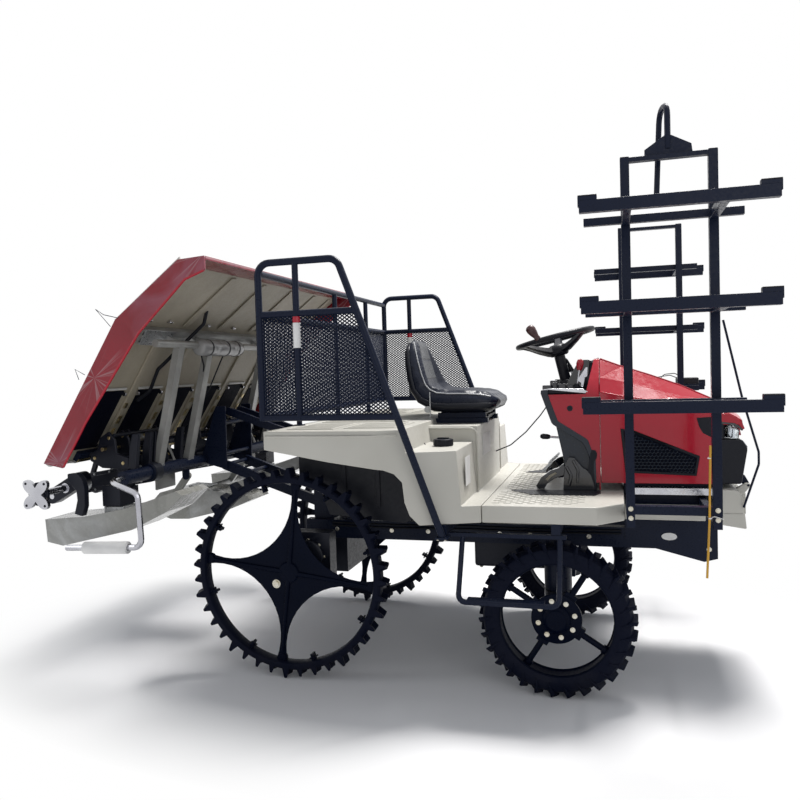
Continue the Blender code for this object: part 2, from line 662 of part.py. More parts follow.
def hood_and_nose():
    cowl = plate([[(1.130, DASH_Z), (1.300, DASH_Z), (1.335, 1.395),
                   (HOOD_SPLIT_X - RUN_GAP, 1.395), (HOOD_SPLIT_X - RUN_GAP, FLOOR_Z + GAP),
                   COWL_FOOT, COWL_KNEE, COWL_CHIN]], -HOOD_HALF_Y, HOOD_HALF_Y)
    cowl = boolean(cowl, plate([hood_section(*HOOD_STATIONS[0][1:])], 1.100, HOOD_SPLIT_X, FRONT),
                   "INTERSECT")
    place("cowl", cowl, "red_paint")
    # The black foot lies one gap behind the cowl's two sloping edges
    base = plate([[(COWL_CHIN[0] - 0.54 * GAP, COWL_CHIN[1] - 0.84 * GAP),
                   (COWL_KNEE[0] - 0.91 * GAP, COWL_KNEE[1] - 0.61 * GAP),
                   (COWL_FOOT[0] - 1.02 * GAP, COWL_FOOT[1]), (1.205, FLOOR_Z + GAP),
                   (1.198, 0.953), (1.166, 1.110)]], -HOOD_HALF_Y + 0.025, HOOD_HALF_Y - 0.025)
    place("cowl_base", base, "black_plastic")
    place("dash", box((1.110, -0.250, DASH_Z + GAP), (1.294, 0.250, DASH_Z + DASH_T)),
          "black_plastic")
    half = HOOD_HALF_Y - HOOD_WALL
    shell = loft([(x, hood_section(*heights)) for x, *heights in HOOD_STATIONS])
    inner = [(x - 0.012, hood_section(*heights, HOOD_WALL)) for x, *heights in HOOD_STATIONS]
    hollow = loft([(HOOD_SPLIT_X - 0.020, inner[0][1])] + inner)
    # Side grilles lie in shallow pockets; lamps and the front box stand in the open nose
    grille = [(1.444, 1.087), (1.498, 1.079), (1.763, 0.968), (1.749, 0.884), (1.461, 0.896)]
    pocket = HOOD_HALF_Y - GRILLE_DEPTH
    cutters = [hollow, box((FRONT_BOX_X, -0.300, 0.800), (2.000, 0.300, FRONT_BOX_TOP))]
    for side in (-1, 1):
        near, far = sorted((side * pocket, side * (HOOD_HALF_Y + 0.010)))
        cutters.append(plate([grille], near, far))
        near, far = sorted((side * LAMP_INNER_Y, side * (HOOD_HALF_Y + 0.010)))
        cutters.append(box((LAMP_X, near, FRONT_BOX_TOP - 0.010), (2.000, far, LAMP_TOP)))
    shell = cut(shell, cutters)
    hinge_x, hinge_z = HOOD_HINGE
    boss_r = 0.011
    hood_bosses, nose_bosses = [], []
    for side in (-1, 1):
        for bosses, first, last in ((hood_bosses, 0.168, 0.192), (nose_bosses, 0.192 + GAP, 0.216)):
            near, far = sorted((side * first, side * last))
            bosses.append(rod((hinge_x, near, hinge_z), (hinge_x, far, hinge_z), boss_r, 12))
            if bosses is hood_bosses:
                bosses.append(box((1.936, near, hinge_z), (hinge_x, far, 0.880)))
            else:
                bosses.append(box((1.930, near, 0.800), (hinge_x, far, hinge_z)))
    place("hood", shell, "red_paint", (hinge_x, 0.0, hinge_z))
    front_box = cut(plate([[(FRONT_BOX_X + GAP, HOOD_LOW_Z), (FRONT_BOX_X + GAP, FRONT_BOX_TOP - GAP),
                            (1.930, FRONT_BOX_TOP - GAP), (1.950, 1.012), (1.945, HOOD_LOW_Z)]],
                          -HOOD_HALF_Y, HOOD_HALF_Y),
                    [box((FRONT_BOX_X - 0.010, -half, HOOD_LOW_Z - 0.010),
                         (1.930, half, FRONT_BOX_TOP - 0.016))])
    place("hood_front_box", unite([front_box] + hood_bosses), "black_plastic", (hinge_x, 0.0, hinge_z))
    lamp = plate([[(LAMP_X + GAP, FRONT_BOX_TOP), (LAMP_X + GAP, LAMP_TOP - GAP), (1.895, LAMP_TOP - GAP),
                   (1.918, 1.076), (1.914, FRONT_BOX_TOP)]], -HOOD_HALF_Y, -LAMP_INNER_Y - GAP)
    both_sides("headlamp", lamp, "lamp_glass", (LAMP_X, -LAMP_INNER_Y, FRONT_BOX_TOP))
    nose = unite([
        box((FRONT_END_X + GAP, -0.300, 0.668), (1.938, 0.300, HOOD_LOW_Z - RUN_GAP - 0.012)),
        box((1.900, -0.150, 0.700), (1.958, 0.150, 0.800)),
    ] + nose_bosses)
    place("nose_panel", nose, "ivory_plastic")
    marker_y = -0.300 - MARKER_R - GAP
    marker = tube([(1.925, marker_y, 0.760), (MARKER_X, marker_y, 0.940),
                   (MARKER_X, marker_y, 0.990), (1.925, marker_y, 1.210),
                   (1.856, marker_y, 1.534)], MARKER_R, 0.030, sides=2, steps=2)
    place("front_marker", marker, "black_paint")


def steering():
    axis = Vector(STEER_AXIS).normalized()
    centre = Vector(STEER_CENTRE)
    bm = bmesh.new()
    turn = axis.to_track_quat("Z", "Y").to_matrix().to_4x4()
    profile = [bm.verts.new((STEER_R + STEER_RIM_R * math.cos(a), 0.0, STEER_RIM_R * math.sin(a)))
               for a in (math.tau * i / 8 for i in range(8))]
    edges = [bm.edges.new((profile[i], profile[(i + 1) % 8])) for i in range(8)]
    bmesh.ops.spin(bm, geom=profile + edges, cent=(0, 0, 0), axis=(0, 0, 1), angle=math.tau,
                   steps=28, use_merge=True)
    bmesh.ops.remove_doubles(bm, verts=bm.verts, dist=0.0001)
    bmesh.ops.transform(bm, matrix=Matrix.Translation(centre) @ turn, verts=bm.verts)
    rim = from_bmesh("rim", bm)
    hub_low = centre - axis * 0.086
    pieces = [rim, rod(hub_low, centre - axis * 0.034, 0.046, 16)]
    side = axis.cross(Vector((0.0, 1.0, 0.0))).normalized()
    for angle in (0.0, math.tau / 3, -math.tau / 3):
        way = side * math.cos(angle) + Vector((0.0, 1.0, 0.0)) * math.sin(angle)
        pieces.append(rod(centre - axis * 0.056 + way * 0.020, centre + way * (STEER_R - 0.002),
                          0.014, 10, 0.008))
    place("steering_wheel", unite(pieces), "black_plastic", tuple(centre))
    foot = centre - axis * ((centre.z - DASH_Z - DASH_T - 0.030) / axis.z)
    top = hub_low - axis * PIN_GAP
    column = unite([rod(foot, top, 0.026, 12),
                    rod((foot.x, 0.0, DASH_Z + DASH_T + GAP), (foot.x, 0.0, foot.z + 0.012),
                        0.050, 16)])
    place("steering_column", column, "black_plastic")


def racks():
    half = RACK_POST_W / 2
    pieces = [box((x - half, -RACK_Y - half, RACK_LOW_Z - 0.045),
                  (x + half, -RACK_Y + half, RACK_TOP_Z)) for x in RACK_POST_XS]
    first, last = RACK_POST_XS
    for low, high in ((RACK_LOW_Z - 0.044, RACK_LOW_Z - 0.012), (RACK_TOP_Z - 0.017, RACK_TOP_Z - 0.001)):
        pieces.append(box((first, -RACK_Y - half + 0.001, low), (last, -RACK_Y + half - 0.001, high)))
    for x in RACK_POST_XS:
        pieces.append(box((x - 0.014, -RACK_Y, RACK_ARM_Z - 0.028),
                          (x + 0.014, -RAIL_OUT_Y - 0.003 - GAP, RACK_ARM_Z)))
        pieces.append(box((x - half + 0.001, -RACK_Y - half + 0.001, RACK_ARM_Z - 0.030),
                          (x + half - 0.001, -RACK_Y + half - 0.001, RACK_LOW_Z)))
    middle = (first + last) / 2
    gusset = [(middle - 0.080, RACK_TOP_Z - 0.010), (middle + 0.085, RACK_TOP_Z - 0.010),
              (middle + 0.080, RACK_TOP_Z + 0.030), (middle + 0.010, RACK_TOP_Z + 0.068),
              (middle - 0.010, RACK_TOP_Z + 0.068), (middle - 0.080, RACK_TOP_Z + 0.022)]
    hoop_r = 0.011
    hoop = tube([(middle, -RACK_Y, RACK_TOP_Z + 0.020), (middle, -RACK_Y, HOOP_TOP_Z - hoop_r),
                 (middle - 0.020, -RACK_Y + 0.110, HOOP_TOP_Z - hoop_r),
                 (middle - 0.035, -RACK_Y + 0.130, 1.960)], hoop_r, 0.045)
    # Only the right-hand rack carries the hoop and its plate
    rack = unite(pieces)
    place("rack_left", mirrored(rack), "black_paint", (middle, RACK_Y, RACK_LOW_Z))
    rack = unite([rack, plate([gusset], -RACK_Y - 0.004, -RACK_Y + 0.004), hoop])
    place("rack_right", rack, "black_paint", (middle, -RACK_Y, RACK_LOW_Z))
    inner = RACK_Y + half + GAP
    for number, z in enumerate(SHELF_ZS, start=1):
        low = z - SHELF_BAR_H / 2
        high = z + SHELF_BAR_H / 2
        shelf = [box((SHELF_X0, -RACK_REACH, low), (SHELF_X1, -RACK_REACH + SHELF_BAR_W, high)),
                 box((SHELF_X0 + 0.004, -inner - 0.026, low + 0.006),
                     (SHELF_X1 - 0.060, -inner, high - 0.006))]
        for x in RACK_POST_XS:
            shelf.append(box((x - 0.014, -RACK_REACH + 0.010, low + 0.003),
                             (x + 0.014, -inner - 0.008, high - 0.009)))
        for x0, x1 in ((SHELF_X0 - 0.004, SHELF_X0 + 0.058), (SHELF_X1 - 0.058, SHELF_X1 + 0.004)):
            shelf.append(box((x0, -RACK_REACH + 0.002, z), (x1, -RACK_REACH + SHELF_BAR_W - 0.002,
                                                            high + 0.014)))
        both_sides("shelf_%d" % number, unite(shelf), "black_paint", (middle, -RACK_Y, z))


def steps():
    y_out, y_in = 0.782, 0.655
    z_low, z_top = 0.452, OUTRIGGER_Z - 0.014
    tread = tube([(0.815, -y_in, z_top), (0.815, -y_out, z_low), (1.205, -y_out, z_low),
                  (1.205, -y_in, z_top)], 0.011, 0.030)
    foot = box((0.850, -y_out - 0.010, z_low + 0.006), (1.150, -y_out + 0.034, z_low + 0.012))
    carrier = box((0.732, -y_in - 0.012, z_top - 0.002), (1.230, -y_in + 0.014, OUTRIGGER_Z - GAP))
    both_sides("side_step", unite([tread, foot, carrier]), "black_paint", (1.010, -y_in, z_top))


def lift():
    """Two lower links on one cross pin, an upper link, and the cylinder that pulls them up."""
    low_rear = (LOWER_PIN[0] + LINK_REACH[0], LOWER_PIN[1] + LINK_REACH[1])
    up_rear = (UPPER_PIN[0] + LINK_REACH[0], UPPER_PIN[1] + LINK_REACH[1])
    span = RAIL_IN_Y + 0.006 - PIN_GAP
    pieces = [rod((LOWER_PIN[0], -span, LOWER_PIN[1]), (LOWER_PIN[0], span, LOWER_PIN[1]), 0.020, 12)]
    for side in (-1, 1):
        near, far = sorted((side * LINK_Y, side * (LINK_Y + LINK_W)))
        pieces.append(link_bar(LOWER_PIN, low_rear, near, far, 0.024))
    pieces.append(rod((low_rear[0] + 0.120, -LINK_Y - 0.010, low_rear[1] - 0.042),
                      (low_rear[0] + 0.120, LINK_Y + 0.010, low_rear[1] - 0.042), 0.012, 8))
    outer = LINK_Y + LINK_W + RUN_GAP - PIN_GAP
    pieces.append(rod((low_rear[0], -outer, low_rear[1]), (low_rear[0], outer, low_rear[1]),
                      LINK_PIN_R, 12))
    pieces.append(link_bar(LOWER_PIN, LEVER_TIP, -0.030, -0.018, 0.022))
    place("lower_links", unite(pieces), "black_paint", (LOWER_PIN[0], 0.0, LOWER_PIN[1]))
    upper = unite([
        rod((UPPER_PIN[0], -span, UPPER_PIN[1]), (UPPER_PIN[0], span, UPPER_PIN[1]), 0.018, 12),
        link_bar(UPPER_PIN, up_rear, -0.075, -0.055, 0.020),
        link_bar(UPPER_PIN, up_rear, 0.055, 0.075, 0.020),
    ])
    place("upper_links", upper, "black_paint", (UPPER_PIN[0], 0.0, UPPER_PIN[1]))
    pin = Vector((CYLINDER_PIN[0], 0.0, CYLINDER_PIN[1]))
    eye = Vector((LEVER_TIP[0], 0.0, LEVER_TIP[1]))
    way = (eye - pin).normalized()
    gland = pin + way * 0.260
    barrel = cut(rod(pin, gland, CYLINDER_R, 16),
                 [rod(pin + way * 0.030, gland + way * 0.010, ROD_R + PIN_GAP, 16)])
    place("lift_cylinder", barrel, "black_paint", tuple(pin))
    # Its eye lies beside the lever, so that it can drift a little on its pin
    ring = link_bar(LEVER_TIP, (eye.x + 0.001, eye.z), -0.018 + PIN_GAP, 0.014, 0.021)
    place("lift_rod", unite([rod(gland - way * 0.200, eye - way * 0.006, ROD_R, 16), ring]),
          "bright_steel", tuple(eye))


def link_bar(start, end, low_y, high_y, radius):
    """A flat bar with round ends between two pins of the side view."""
    start, end = Vector(start), Vector(end)
    heading = math.atan2(end.y - start.y, end.x - start.x)
    outline = []
    for centre, first in ((end, heading - math.pi / 2), (start, heading + math.pi / 2)):
        for step in range(7):
            angle = first + math.pi * step / 6
            outline.append((centre.x + radius * math.cos(angle), centre.y + radius * math.sin(angle)))
    return plate([outline], low_y, high_y)


def under_sheet(share, drop):
    """A point (x, z) below the platform's sheet, at a share of its lower run."""
    low, bend = Vector(SHEET_LOW), Vector(SHEET_BEND)
    run = (bend - low).normalized()
    return tuple(low.lerp(bend, share) + Vector((run.y, -run.x)) * drop)


def planting_unit():
    low_rear = (LOWER_PIN[0] + LINK_REACH[0], LOWER_PIN[1] + LINK_REACH[1])
    up_rear = (UPPER_PIN[0] + LINK_REACH[0], UPPER_PIN[1] + LINK_REACH[1])
    beam_x, beam_z = UNIT_BEAM
    pieces = [rod((beam_x, -UNIT_HALF_Y, beam_z), (beam_x, UNIT_HALF_Y, beam_z), UNIT_BEAM_R, 12)]
    outer = LINK_Y + LINK_W + RUN_GAP
    for side in (-1, 1):
        near, far = sorted((side * outer, side * (outer + 0.010)))
        pieces.append(plate([[(beam_x - 0.020, beam_z - 0.010), (low_rear[0] + 0.020, low_rear[1] - 0.022),
                              (low_rear[0] + 0.024, up_rear[1] + 0.030),
                              (low_rear[0] - 0.030, up_rear[1] + 0.030)]], near, far))
    pieces.append(rod((low_rear[0], -outer - 0.004, low_rear[1] + 0.060),
                      (low_rear[0], outer + 0.004, low_rear[1] + 0.060), 0.011, 8))
    pieces.append(rod((up_rear[0] - 0.004, -outer - 0.004, up_rear[1] - 0.060),
                      (up_rear[0] - 0.004, outer + 0.004, up_rear[1] - 0.060), 0.011, 8))
    for y in CASE_YS:
        low_y, high_y = y - CASE_W / 2, y + CASE_W / 2
        pieces.append(link_bar((beam_x, beam_z), ROTOR, low_y, high_y, 0.046))
    # Uprights that carry the platform's upper rail
    upper_rail = (beam_x + 0.150, 1.520)
    for y in POST_YS:
        pieces.append(link_bar((beam_x, beam_z), upper_rail, y - 0.025, y + 0.025, 0.016))
    rail_y = PLATFORM_HALF_Y - COVER_T - PLATFORM_SHIFT - RUN_GAP
    pieces.append(rod((upper_rail[0], -rail_y, upper_rail[1]), (upper_rail[0], rail_y, upper_rail[1]),
                      0.018, 12))
    # Motor that shakes the seedlings down, on the same rail
    pieces.append(rod((upper_rail[0] + 0.012, -0.420, 1.508), (upper_rail[0] + 0.012, -0.010, 1.508),
                      0.042, 20))
    # Two channels that the platform slides on, just under its sheet
    for start, first, last, depth, ys in ((upper_rail, 0.885, 0.992, 0.034, POST_YS),
                                          (ROTOR, 0.012, 0.076, 0.026, CASE_YS)):
        channel = [under_sheet(first, PIN_GAP), under_sheet(last, PIN_GAP), under_sheet(last, depth),
                   under_sheet(first, depth)]
        pieces.append(plate([channel], -rail_y, rail_y))
        end = under_sheet((first + last) / 2, depth / 2)
        for y in ys:
            pieces.append(link_bar(start, end, y - 0.008, y + 0.008, 0.012))
    # Lugs that the floats' arms hang from
    for side in (-1, 1):
        near, far = sorted((side * (FLOAT_ARM_Y + 0.010 + PIN_GAP), side * (FLOAT_ARM_Y + 0.022)))
        pieces.append(link_bar((beam_x, beam_z), FLOAT_PIN, near, far, 0.020))
    frame = unite(pieces)
    frame = cut(frame, [rod((ROTOR[0], y - CASE_W, ROTOR[1]), (ROTOR[0], y + CASE_W, ROTOR[1]),
                            SHAFT_R + PIN_GAP, 24) for y in CASE_YS])
    place("planting_frame", frame, "black_paint", (low_rear[0], 0.0, low_rear[1]))

    for word, y in zip(("right", "middle", "left"), CASE_YS):
        shaft = rod((ROTOR[0], y - ROTOR_Y, ROTOR[1]), (ROTOR[0], y + ROTOR_Y, ROTOR[1]), SHAFT_R, 12)
        blades = [shaft]
        for side in (-1, 1):
            near, far = sorted((y + side * (ROTOR_Y - ROTOR_W / 2), y + side * (ROTOR_Y + ROTOR_W / 2)))
            arm = ROTOR_R - ROTOR_BLADE_R
            tip = arm * math.cos(ROTOR_TILT), arm * math.sin(ROTOR_TILT)
            blades.append(link_bar((ROTOR[0] - tip[0], ROTOR[1] - tip[1]),
                                   (ROTOR[0] + tip[0], ROTOR[1] + tip[1]), near, far, ROTOR_BLADE_R))
        if word != "middle":
            # Four-armed star outside the last row
            side = math.copysign(1.0, y)
            near, far = sorted((y + side * STAR_Y, y + side * (STAR_Y + 0.018)))
            blades.append(rod((ROTOR[0], y, ROTOR[1]), (ROTOR[0], far if side > 0 else near, ROTOR[1]),
                              SHAFT_R, 12))
            reach = (STAR_R - 0.018) * math.sqrt(0.5)
            for lift in (-reach, reach):
                blades.append(link_bar((ROTOR[0] - reach, ROTOR[1] - lift),
                                       (ROTOR[0] + reach, ROTOR[1] + lift), near, far, 0.018))
        place("planting_rotor_" + word, unite(blades), "bright_steel", (ROTOR[0], y, ROTOR[1]))

    # Seedling platform: a sheet that leans from its low rear edge up towards the seat
    back = [(-1.000, 1.005), (-0.600, 1.620), (-0.290, 1.850)]
    under = [(-0.284, 1.834), SHEET_BEND, SHEET_LOW]
    half = PLATFORM_HALF_Y - COVER_T - GAP
    place("platform", plate([back + under], -half, half), "grey_plastic", (-0.600, 0.0, 1.500))
    front = [(-0.165, 1.800), (-0.260, 1.770), (-0.490, 1.560), (-0.770, 1.190), (-0.900, 0.985)]
    cover = plate([back + [(-0.165, 1.858)] + front], -PLATFORM_HALF_Y, -PLATFORM_HALF_Y + COVER_T)
    both_sides("platform_cover", cover, "red_paint", (-0.600, -PLATFORM_HALF_Y, 1.500))
    top = plate([[(-0.2895 + GAP, 1.850), (-0.165, 1.858), (-0.165, 1.842), (-0.2835 + GAP, 1.834)]],
                -half, half)
    place("platform_top", top, "red_paint", (-0.225, 0.0, 1.846))

    float_pieces = []
    pipe_x, pipe_z = -0.760, 0.750
    nose_up = [(-1.070, 0.742), (-1.062, 0.640), (-0.980, 0.625), (-0.620, 0.706), (-0.440, 0.790),
               (-0.360, 0.862), (-0.392, 0.880), (-0.640, 0.800), (-0.860, 0.760)]
    level = [(-1.000, 0.705), (-0.985, 0.630), (-0.900, 0.603), (-0.787, 0.606), (-0.540, 0.664),
             (-0.420, 0.712), (-0.440, 0.735), (-0.640, 0.760), (-0.860, 0.770), (-0.960, 0.745)]
    for y in FLOAT_YS:
        float_pieces.append(plate([nose_up if abs(y) > 0.1 else level], y - FLOAT_HALF_Y,
                                  y + FLOAT_HALF_Y))
    float_pieces.append(rod((pipe_x, -UNIT_HALF_Y, pipe_z), (pipe_x, UNIT_HALF_Y, pipe_z), 0.016, 10))
    for y in (-FLOAT_ARM_Y, FLOAT_ARM_Y):
        float_pieces.append(link_bar((pipe_x, pipe_z), FLOAT_PIN, y - 0.010, y + 0.010, 0.016))
    place("floats", unite(float_pieces), "ivory_plastic", (pipe_x, 0.0, pipe_z))

    # Bent guard bar at each end of the unit, with its foam sleeve
    bar_y = -UNIT_HALF_Y - 0.090
    low_front, low_end = Vector((-0.520, bar_y, 0.650)), Vector((-0.900, bar_y, 0.635))
    start = (beam_x, -UNIT_HALF_Y - GAP, beam_z)
    bar = tube([start, (beam_x, bar_y, beam_z), (-0.530, bar_y, 0.880), low_front, low_end],
               0.013, 0.036)
    foam = rod(low_front.lerp(low_end, 0.18), low_front.lerp(low_end, 0.75), 0.026, 12)
    both_sides("end_guard", unite([bar, foam]), "bright_steel", start)


wheels_and_axles()
chassis()
floor()
rear_body()
seat()
guard()
hood_and_nose()
steering()
racks()
steps()
lift()
planting_unit()
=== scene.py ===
"""Looks of the six-row riding rice transplanter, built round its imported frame.

Sizes are metres from the rear axle's centre on the ground, as in the part's own
source: +X forward, +Y to the machine's left, +Z up. finish_piece() moves each
piece by REAR_AXLE_X, so that it lands where the frame is.
"""
import json
import math

import bmesh
import bpy
from mathutils import Matrix, Vector


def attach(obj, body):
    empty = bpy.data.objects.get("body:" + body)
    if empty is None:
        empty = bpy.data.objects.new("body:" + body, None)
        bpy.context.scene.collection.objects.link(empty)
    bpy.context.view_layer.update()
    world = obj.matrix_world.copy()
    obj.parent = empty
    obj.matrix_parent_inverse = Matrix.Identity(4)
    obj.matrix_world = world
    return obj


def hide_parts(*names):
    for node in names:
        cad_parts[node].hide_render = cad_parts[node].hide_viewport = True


REAR_AXLE_X = -0.43564

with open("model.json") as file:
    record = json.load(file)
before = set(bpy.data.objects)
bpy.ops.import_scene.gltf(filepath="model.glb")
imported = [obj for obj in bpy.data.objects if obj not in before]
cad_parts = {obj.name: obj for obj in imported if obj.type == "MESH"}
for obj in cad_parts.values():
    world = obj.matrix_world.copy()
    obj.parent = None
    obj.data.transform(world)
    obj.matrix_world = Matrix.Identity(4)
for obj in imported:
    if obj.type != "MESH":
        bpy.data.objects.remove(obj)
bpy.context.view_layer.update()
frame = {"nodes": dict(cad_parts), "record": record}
BODY_OF = {node: body for body, nodes in frame["record"]["behaviour"]["bodies"].items() for node in nodes}


# Shader nodes: every tree in this script is put together with these

def feed(tree, node, inputs):
    """Gives a node's inputs their values, or the sockets that they take them from."""
    for key, value in inputs.items():
        if isinstance(value, bpy.types.NodeSocket):
            tree.links.new(value, node.inputs[key])
        else:
            node.inputs[key].default_value = value


def add(tree, kind, inputs=(), **settings):
    """The outputs of a new shader node with these settings and inputs."""
    node = tree.nodes.new("ShaderNode" + kind)
    for name, value in settings.items():
        setattr(node, name, value)
    feed(tree, node, dict(inputs))
    return node.outputs


def calc(tree, operation, first, second):
    return add(tree, "Math", {0: first, 1: second}, operation=operation)[0]


def ramp(tree, value, low=0.0, high=1.0, start=0.0, end=1.0, **settings):
    """Goes from start to end while the value goes from low to high."""
    return add(tree, "MapRange", {"Value": value, "From Min": low, "From Max": high, "To Min": start,
            "To Max": end}, **settings)[0]


def new_material(name, inputs):
    material = bpy.data.materials.new(name)
    material.use_nodes = True
    tree = material.node_tree
    shader = tree.nodes["Principled BSDF"]
    feed(tree, shader, inputs)
    return material, tree, shader


# Camera, light and ground

def add_object(name, data):
    made = bpy.data.objects.new(name, data)
    bpy.context.scene.collection.objects.link(made)
    return made


def place_camera():
    yaw, pitch, roll = (math.radians(a) for a in (15.97, -2.28, -1.76))
    ahead = Vector((-math.sin(yaw) * math.cos(pitch), math.cos(yaw) * math.cos(pitch), math.sin(pitch)))
    level = Vector((math.cos(yaw), math.sin(yaw), 0.0))
    over = level.cross(ahead)
    right = level * math.cos(roll) + over * math.sin(roll)
    up = over * math.cos(roll) - level * math.sin(roll)
    data = bpy.data.cameras.new("photo_camera")
    data.sensor_width = 36.0
    data.lens = 36.0 * 750.5 / 800.0
    camera = add_object("photo_camera", data)
    turn = Matrix((right, up, -ahead)).transposed().to_4x4()
    camera.matrix_world = Matrix.Translation((0.98636, -3.643, 1.369)) @ turn
    bpy.context.scene.camera = camera


def area_light(name, place, aim, size, power, colour=(1.0, 1.0, 1.0)):
    data = bpy.data.lights.new(name, "AREA")
    data.shape = "RECTANGLE"
    data.size, data.size_y = size
    data.energy = power
    data.color = colour
    light = add_object(name, data)
    light.location = place
    light.rotation_euler = (Vector(aim) - Vector(place)).to_track_quat("-Z", "Y").to_euler()


def seen_directly(tree):
    """1 for rays from the camera, mirrors and glass, which should meet plain white."""
    path = add(tree, "LightPath")
    first = calc(tree, "MAXIMUM", path["Is Camera Ray"], path["Is Glossy Ray"])
    return calc(tree, "MAXIMUM", first, path["Is Transmission Ray"])


def studio():
    bpy.context.scene.view_settings.view_transform = "Standard"
    world = bpy.data.worlds.new("studio_air")
    bpy.context.scene.world = world
    world.use_nodes = True
    tree = world.node_tree
    tree.nodes.clear()
    fill = add(tree, "Background", {"Color": (0.9, 0.94, 1.0, 1.0), "Strength": 0.32})
    white = add(tree, "Background", {"Color": (1.0, 1.0, 1.0, 1.0), "Strength": 1.0})
    choose = add(tree, "MixShader", {0: seen_directly(tree), 1: fill[0], 2: white[0]})
    add(tree, "OutputWorld", {0: choose[0]})

    area_light("sky_panel", (1.3, 1.3, 5.6), (0.0, 0.0, 0.6), (1.6, 1.6), 400.0, (1.0, 0.98, 0.95))
    area_light("front_panel", (2.6, -4.6, 3.0), (0.0, 0.0, 0.9), (3.0, 2.4), 30.0)
    # A narrow lamp overhead, mirrored as a bright line along the hood's shoulder
    area_light("shoulder_strip", (2.16, 0.35, 5.2), (1.1, 0.35, 1.3), (2.6, 0.25), 24.0)
    area_light("rear_panel", (-3.8, -2.0, 3.2), (-0.4, 0.0, 0.9), (2.2, 2.2), 22.0)

    bm = bmesh.new()
    bmesh.ops.create_grid(bm, x_segments=2, y_segments=2, size=16.0)
    mesh = bpy.data.meshes.new("yard_floor")
    bm.to_mesh(mesh)
    bm.free()
    ground = add_object("yard_floor", mesh)
    material, tree, shader = new_material("pale_floor",
            {"Base Color": (0.93, 0.93, 0.95, 1.0), "Roughness": 0.9, "Specular IOR Level": 0.0})
    # Far from the machine the ground fades to white, so that no horizon shows
    where = add(tree, "TexCoord")["Object"]
    oval = add(tree, "VectorMath", {0: where, 1: (0.6, 1.0, 1.0)}, operation="MULTIPLY")["Vector"]
    distance = add(tree, "VectorMath", {0: oval}, operation="LENGTH")["Value"]
    glow = add(tree, "Emission")
    mix = add(tree, "MixShader", {0: ramp(tree, distance, 0.95, 1.5), 1: shader.outputs[0], 2: glow[0]})
    tree.links.new(mix[0], tree.nodes["Material Output"].inputs[0])
    mesh.materials.append(material)


# Shader groups that several finishes share

def new_group(name, inputs, outputs):
    """A group of plain values: its tree, the sockets it is given and its output node."""
    group = bpy.data.node_groups.new(name, "ShaderNodeTree")
    for socket, value in inputs.items():
        made = group.interface.new_socket(socket, in_out="INPUT", socket_type="NodeSocketFloat")
        made.default_value = value
    for socket in outputs:
        group.interface.new_socket(socket, in_out="OUTPUT", socket_type="NodeSocketFloat")
    return group, group.nodes.new("NodeGroupInput").outputs, group.nodes.new("NodeGroupOutput")


def uneven_group():
    """Two sizes of soft cloud over a surface, from 0 to 1."""
    group, given, out = new_group("uneven_coat", {"Size": 6.0}, ("Mask", "Fine"))
    where = add(group, "TexCoord")["Object"]
    for socket, factor, detail in (("Mask", 1.0, 4.0), ("Fine", 22.0, 2.0)):
        scale = calc(group, "MULTIPLY", given["Size"], factor)
        noise = add(group, "TexNoise", {"Vector": where, "Scale": scale, "Detail": detail})
        feed(group, out, {socket: ramp(group, noise["Fac"], 0.35, 0.65)})
    return group


def dust_group():
    """Dry soil that settles thickest near the ground, in patches."""
    group, given, out = new_group("dry_soil", {"Top": 0.5, "Amount": 0.5}, ("Mask",))
    where = add(group, "TexCoord")["Object"]
    height = add(group, "SeparateXYZ", {0: where})["Z"]
    low = ramp(group, height, 0.0, given["Top"], 1.0, 0.12)
    patches = add(group, "TexNoise", {"Vector": where, "Scale": 9.0, "Detail": 6.0})
    both = calc(group, "MULTIPLY", low, ramp(group, patches["Fac"], 0.42, 0.78))
    feed(group, out, {"Mask": calc(group, "MULTIPLY", both, given["Amount"])})
    return group


def texture_group():
    """Height of a fine moulded or sprayed surface."""
    group, given, out = new_group("fine_surface", {"Size": 300.0}, ("Height",))
    where = add(group, "TexCoord")["Object"]
    noise = add(group, "TexNoise", {"Vector": where, "Scale": given["Size"], "Detail": 3.0})
    feed(group, out, {"Height": noise["Fac"]})
    return group


def pulled_crease_highlights(group, where, x, z, seed):
    """Painted highlights along straight creases round one point of the side view, fading with the distance
    from it.
    """
    away = add(group, "VectorMath", {0: where, 1: (x, 0.0, z)}, operation="SUBTRACT")[0]
    flat = add(group, "VectorMath", {0: away, 1: (1.0, 0.0, 1.0)}, operation="MULTIPLY")[0]
    split = add(group, "SeparateXYZ", {0: flat})
    place = add(group, "CombineXYZ", {"X": calc(group, "ARCTAN2", split["Z"], split["X"]), "Y": seed})
    spread = add(group, "TexNoise", {"Vector": place[0], "Scale": 7.5, "Detail": 4.0},
            noise_dimensions="2D")
    far = add(group, "VectorMath", {0: flat}, operation="LENGTH")["Value"]
    return calc(group, "MULTIPLY", ramp(group, spread["Fac"], 0.56, 0.72), ramp(group, far, 0.19, 0.02))


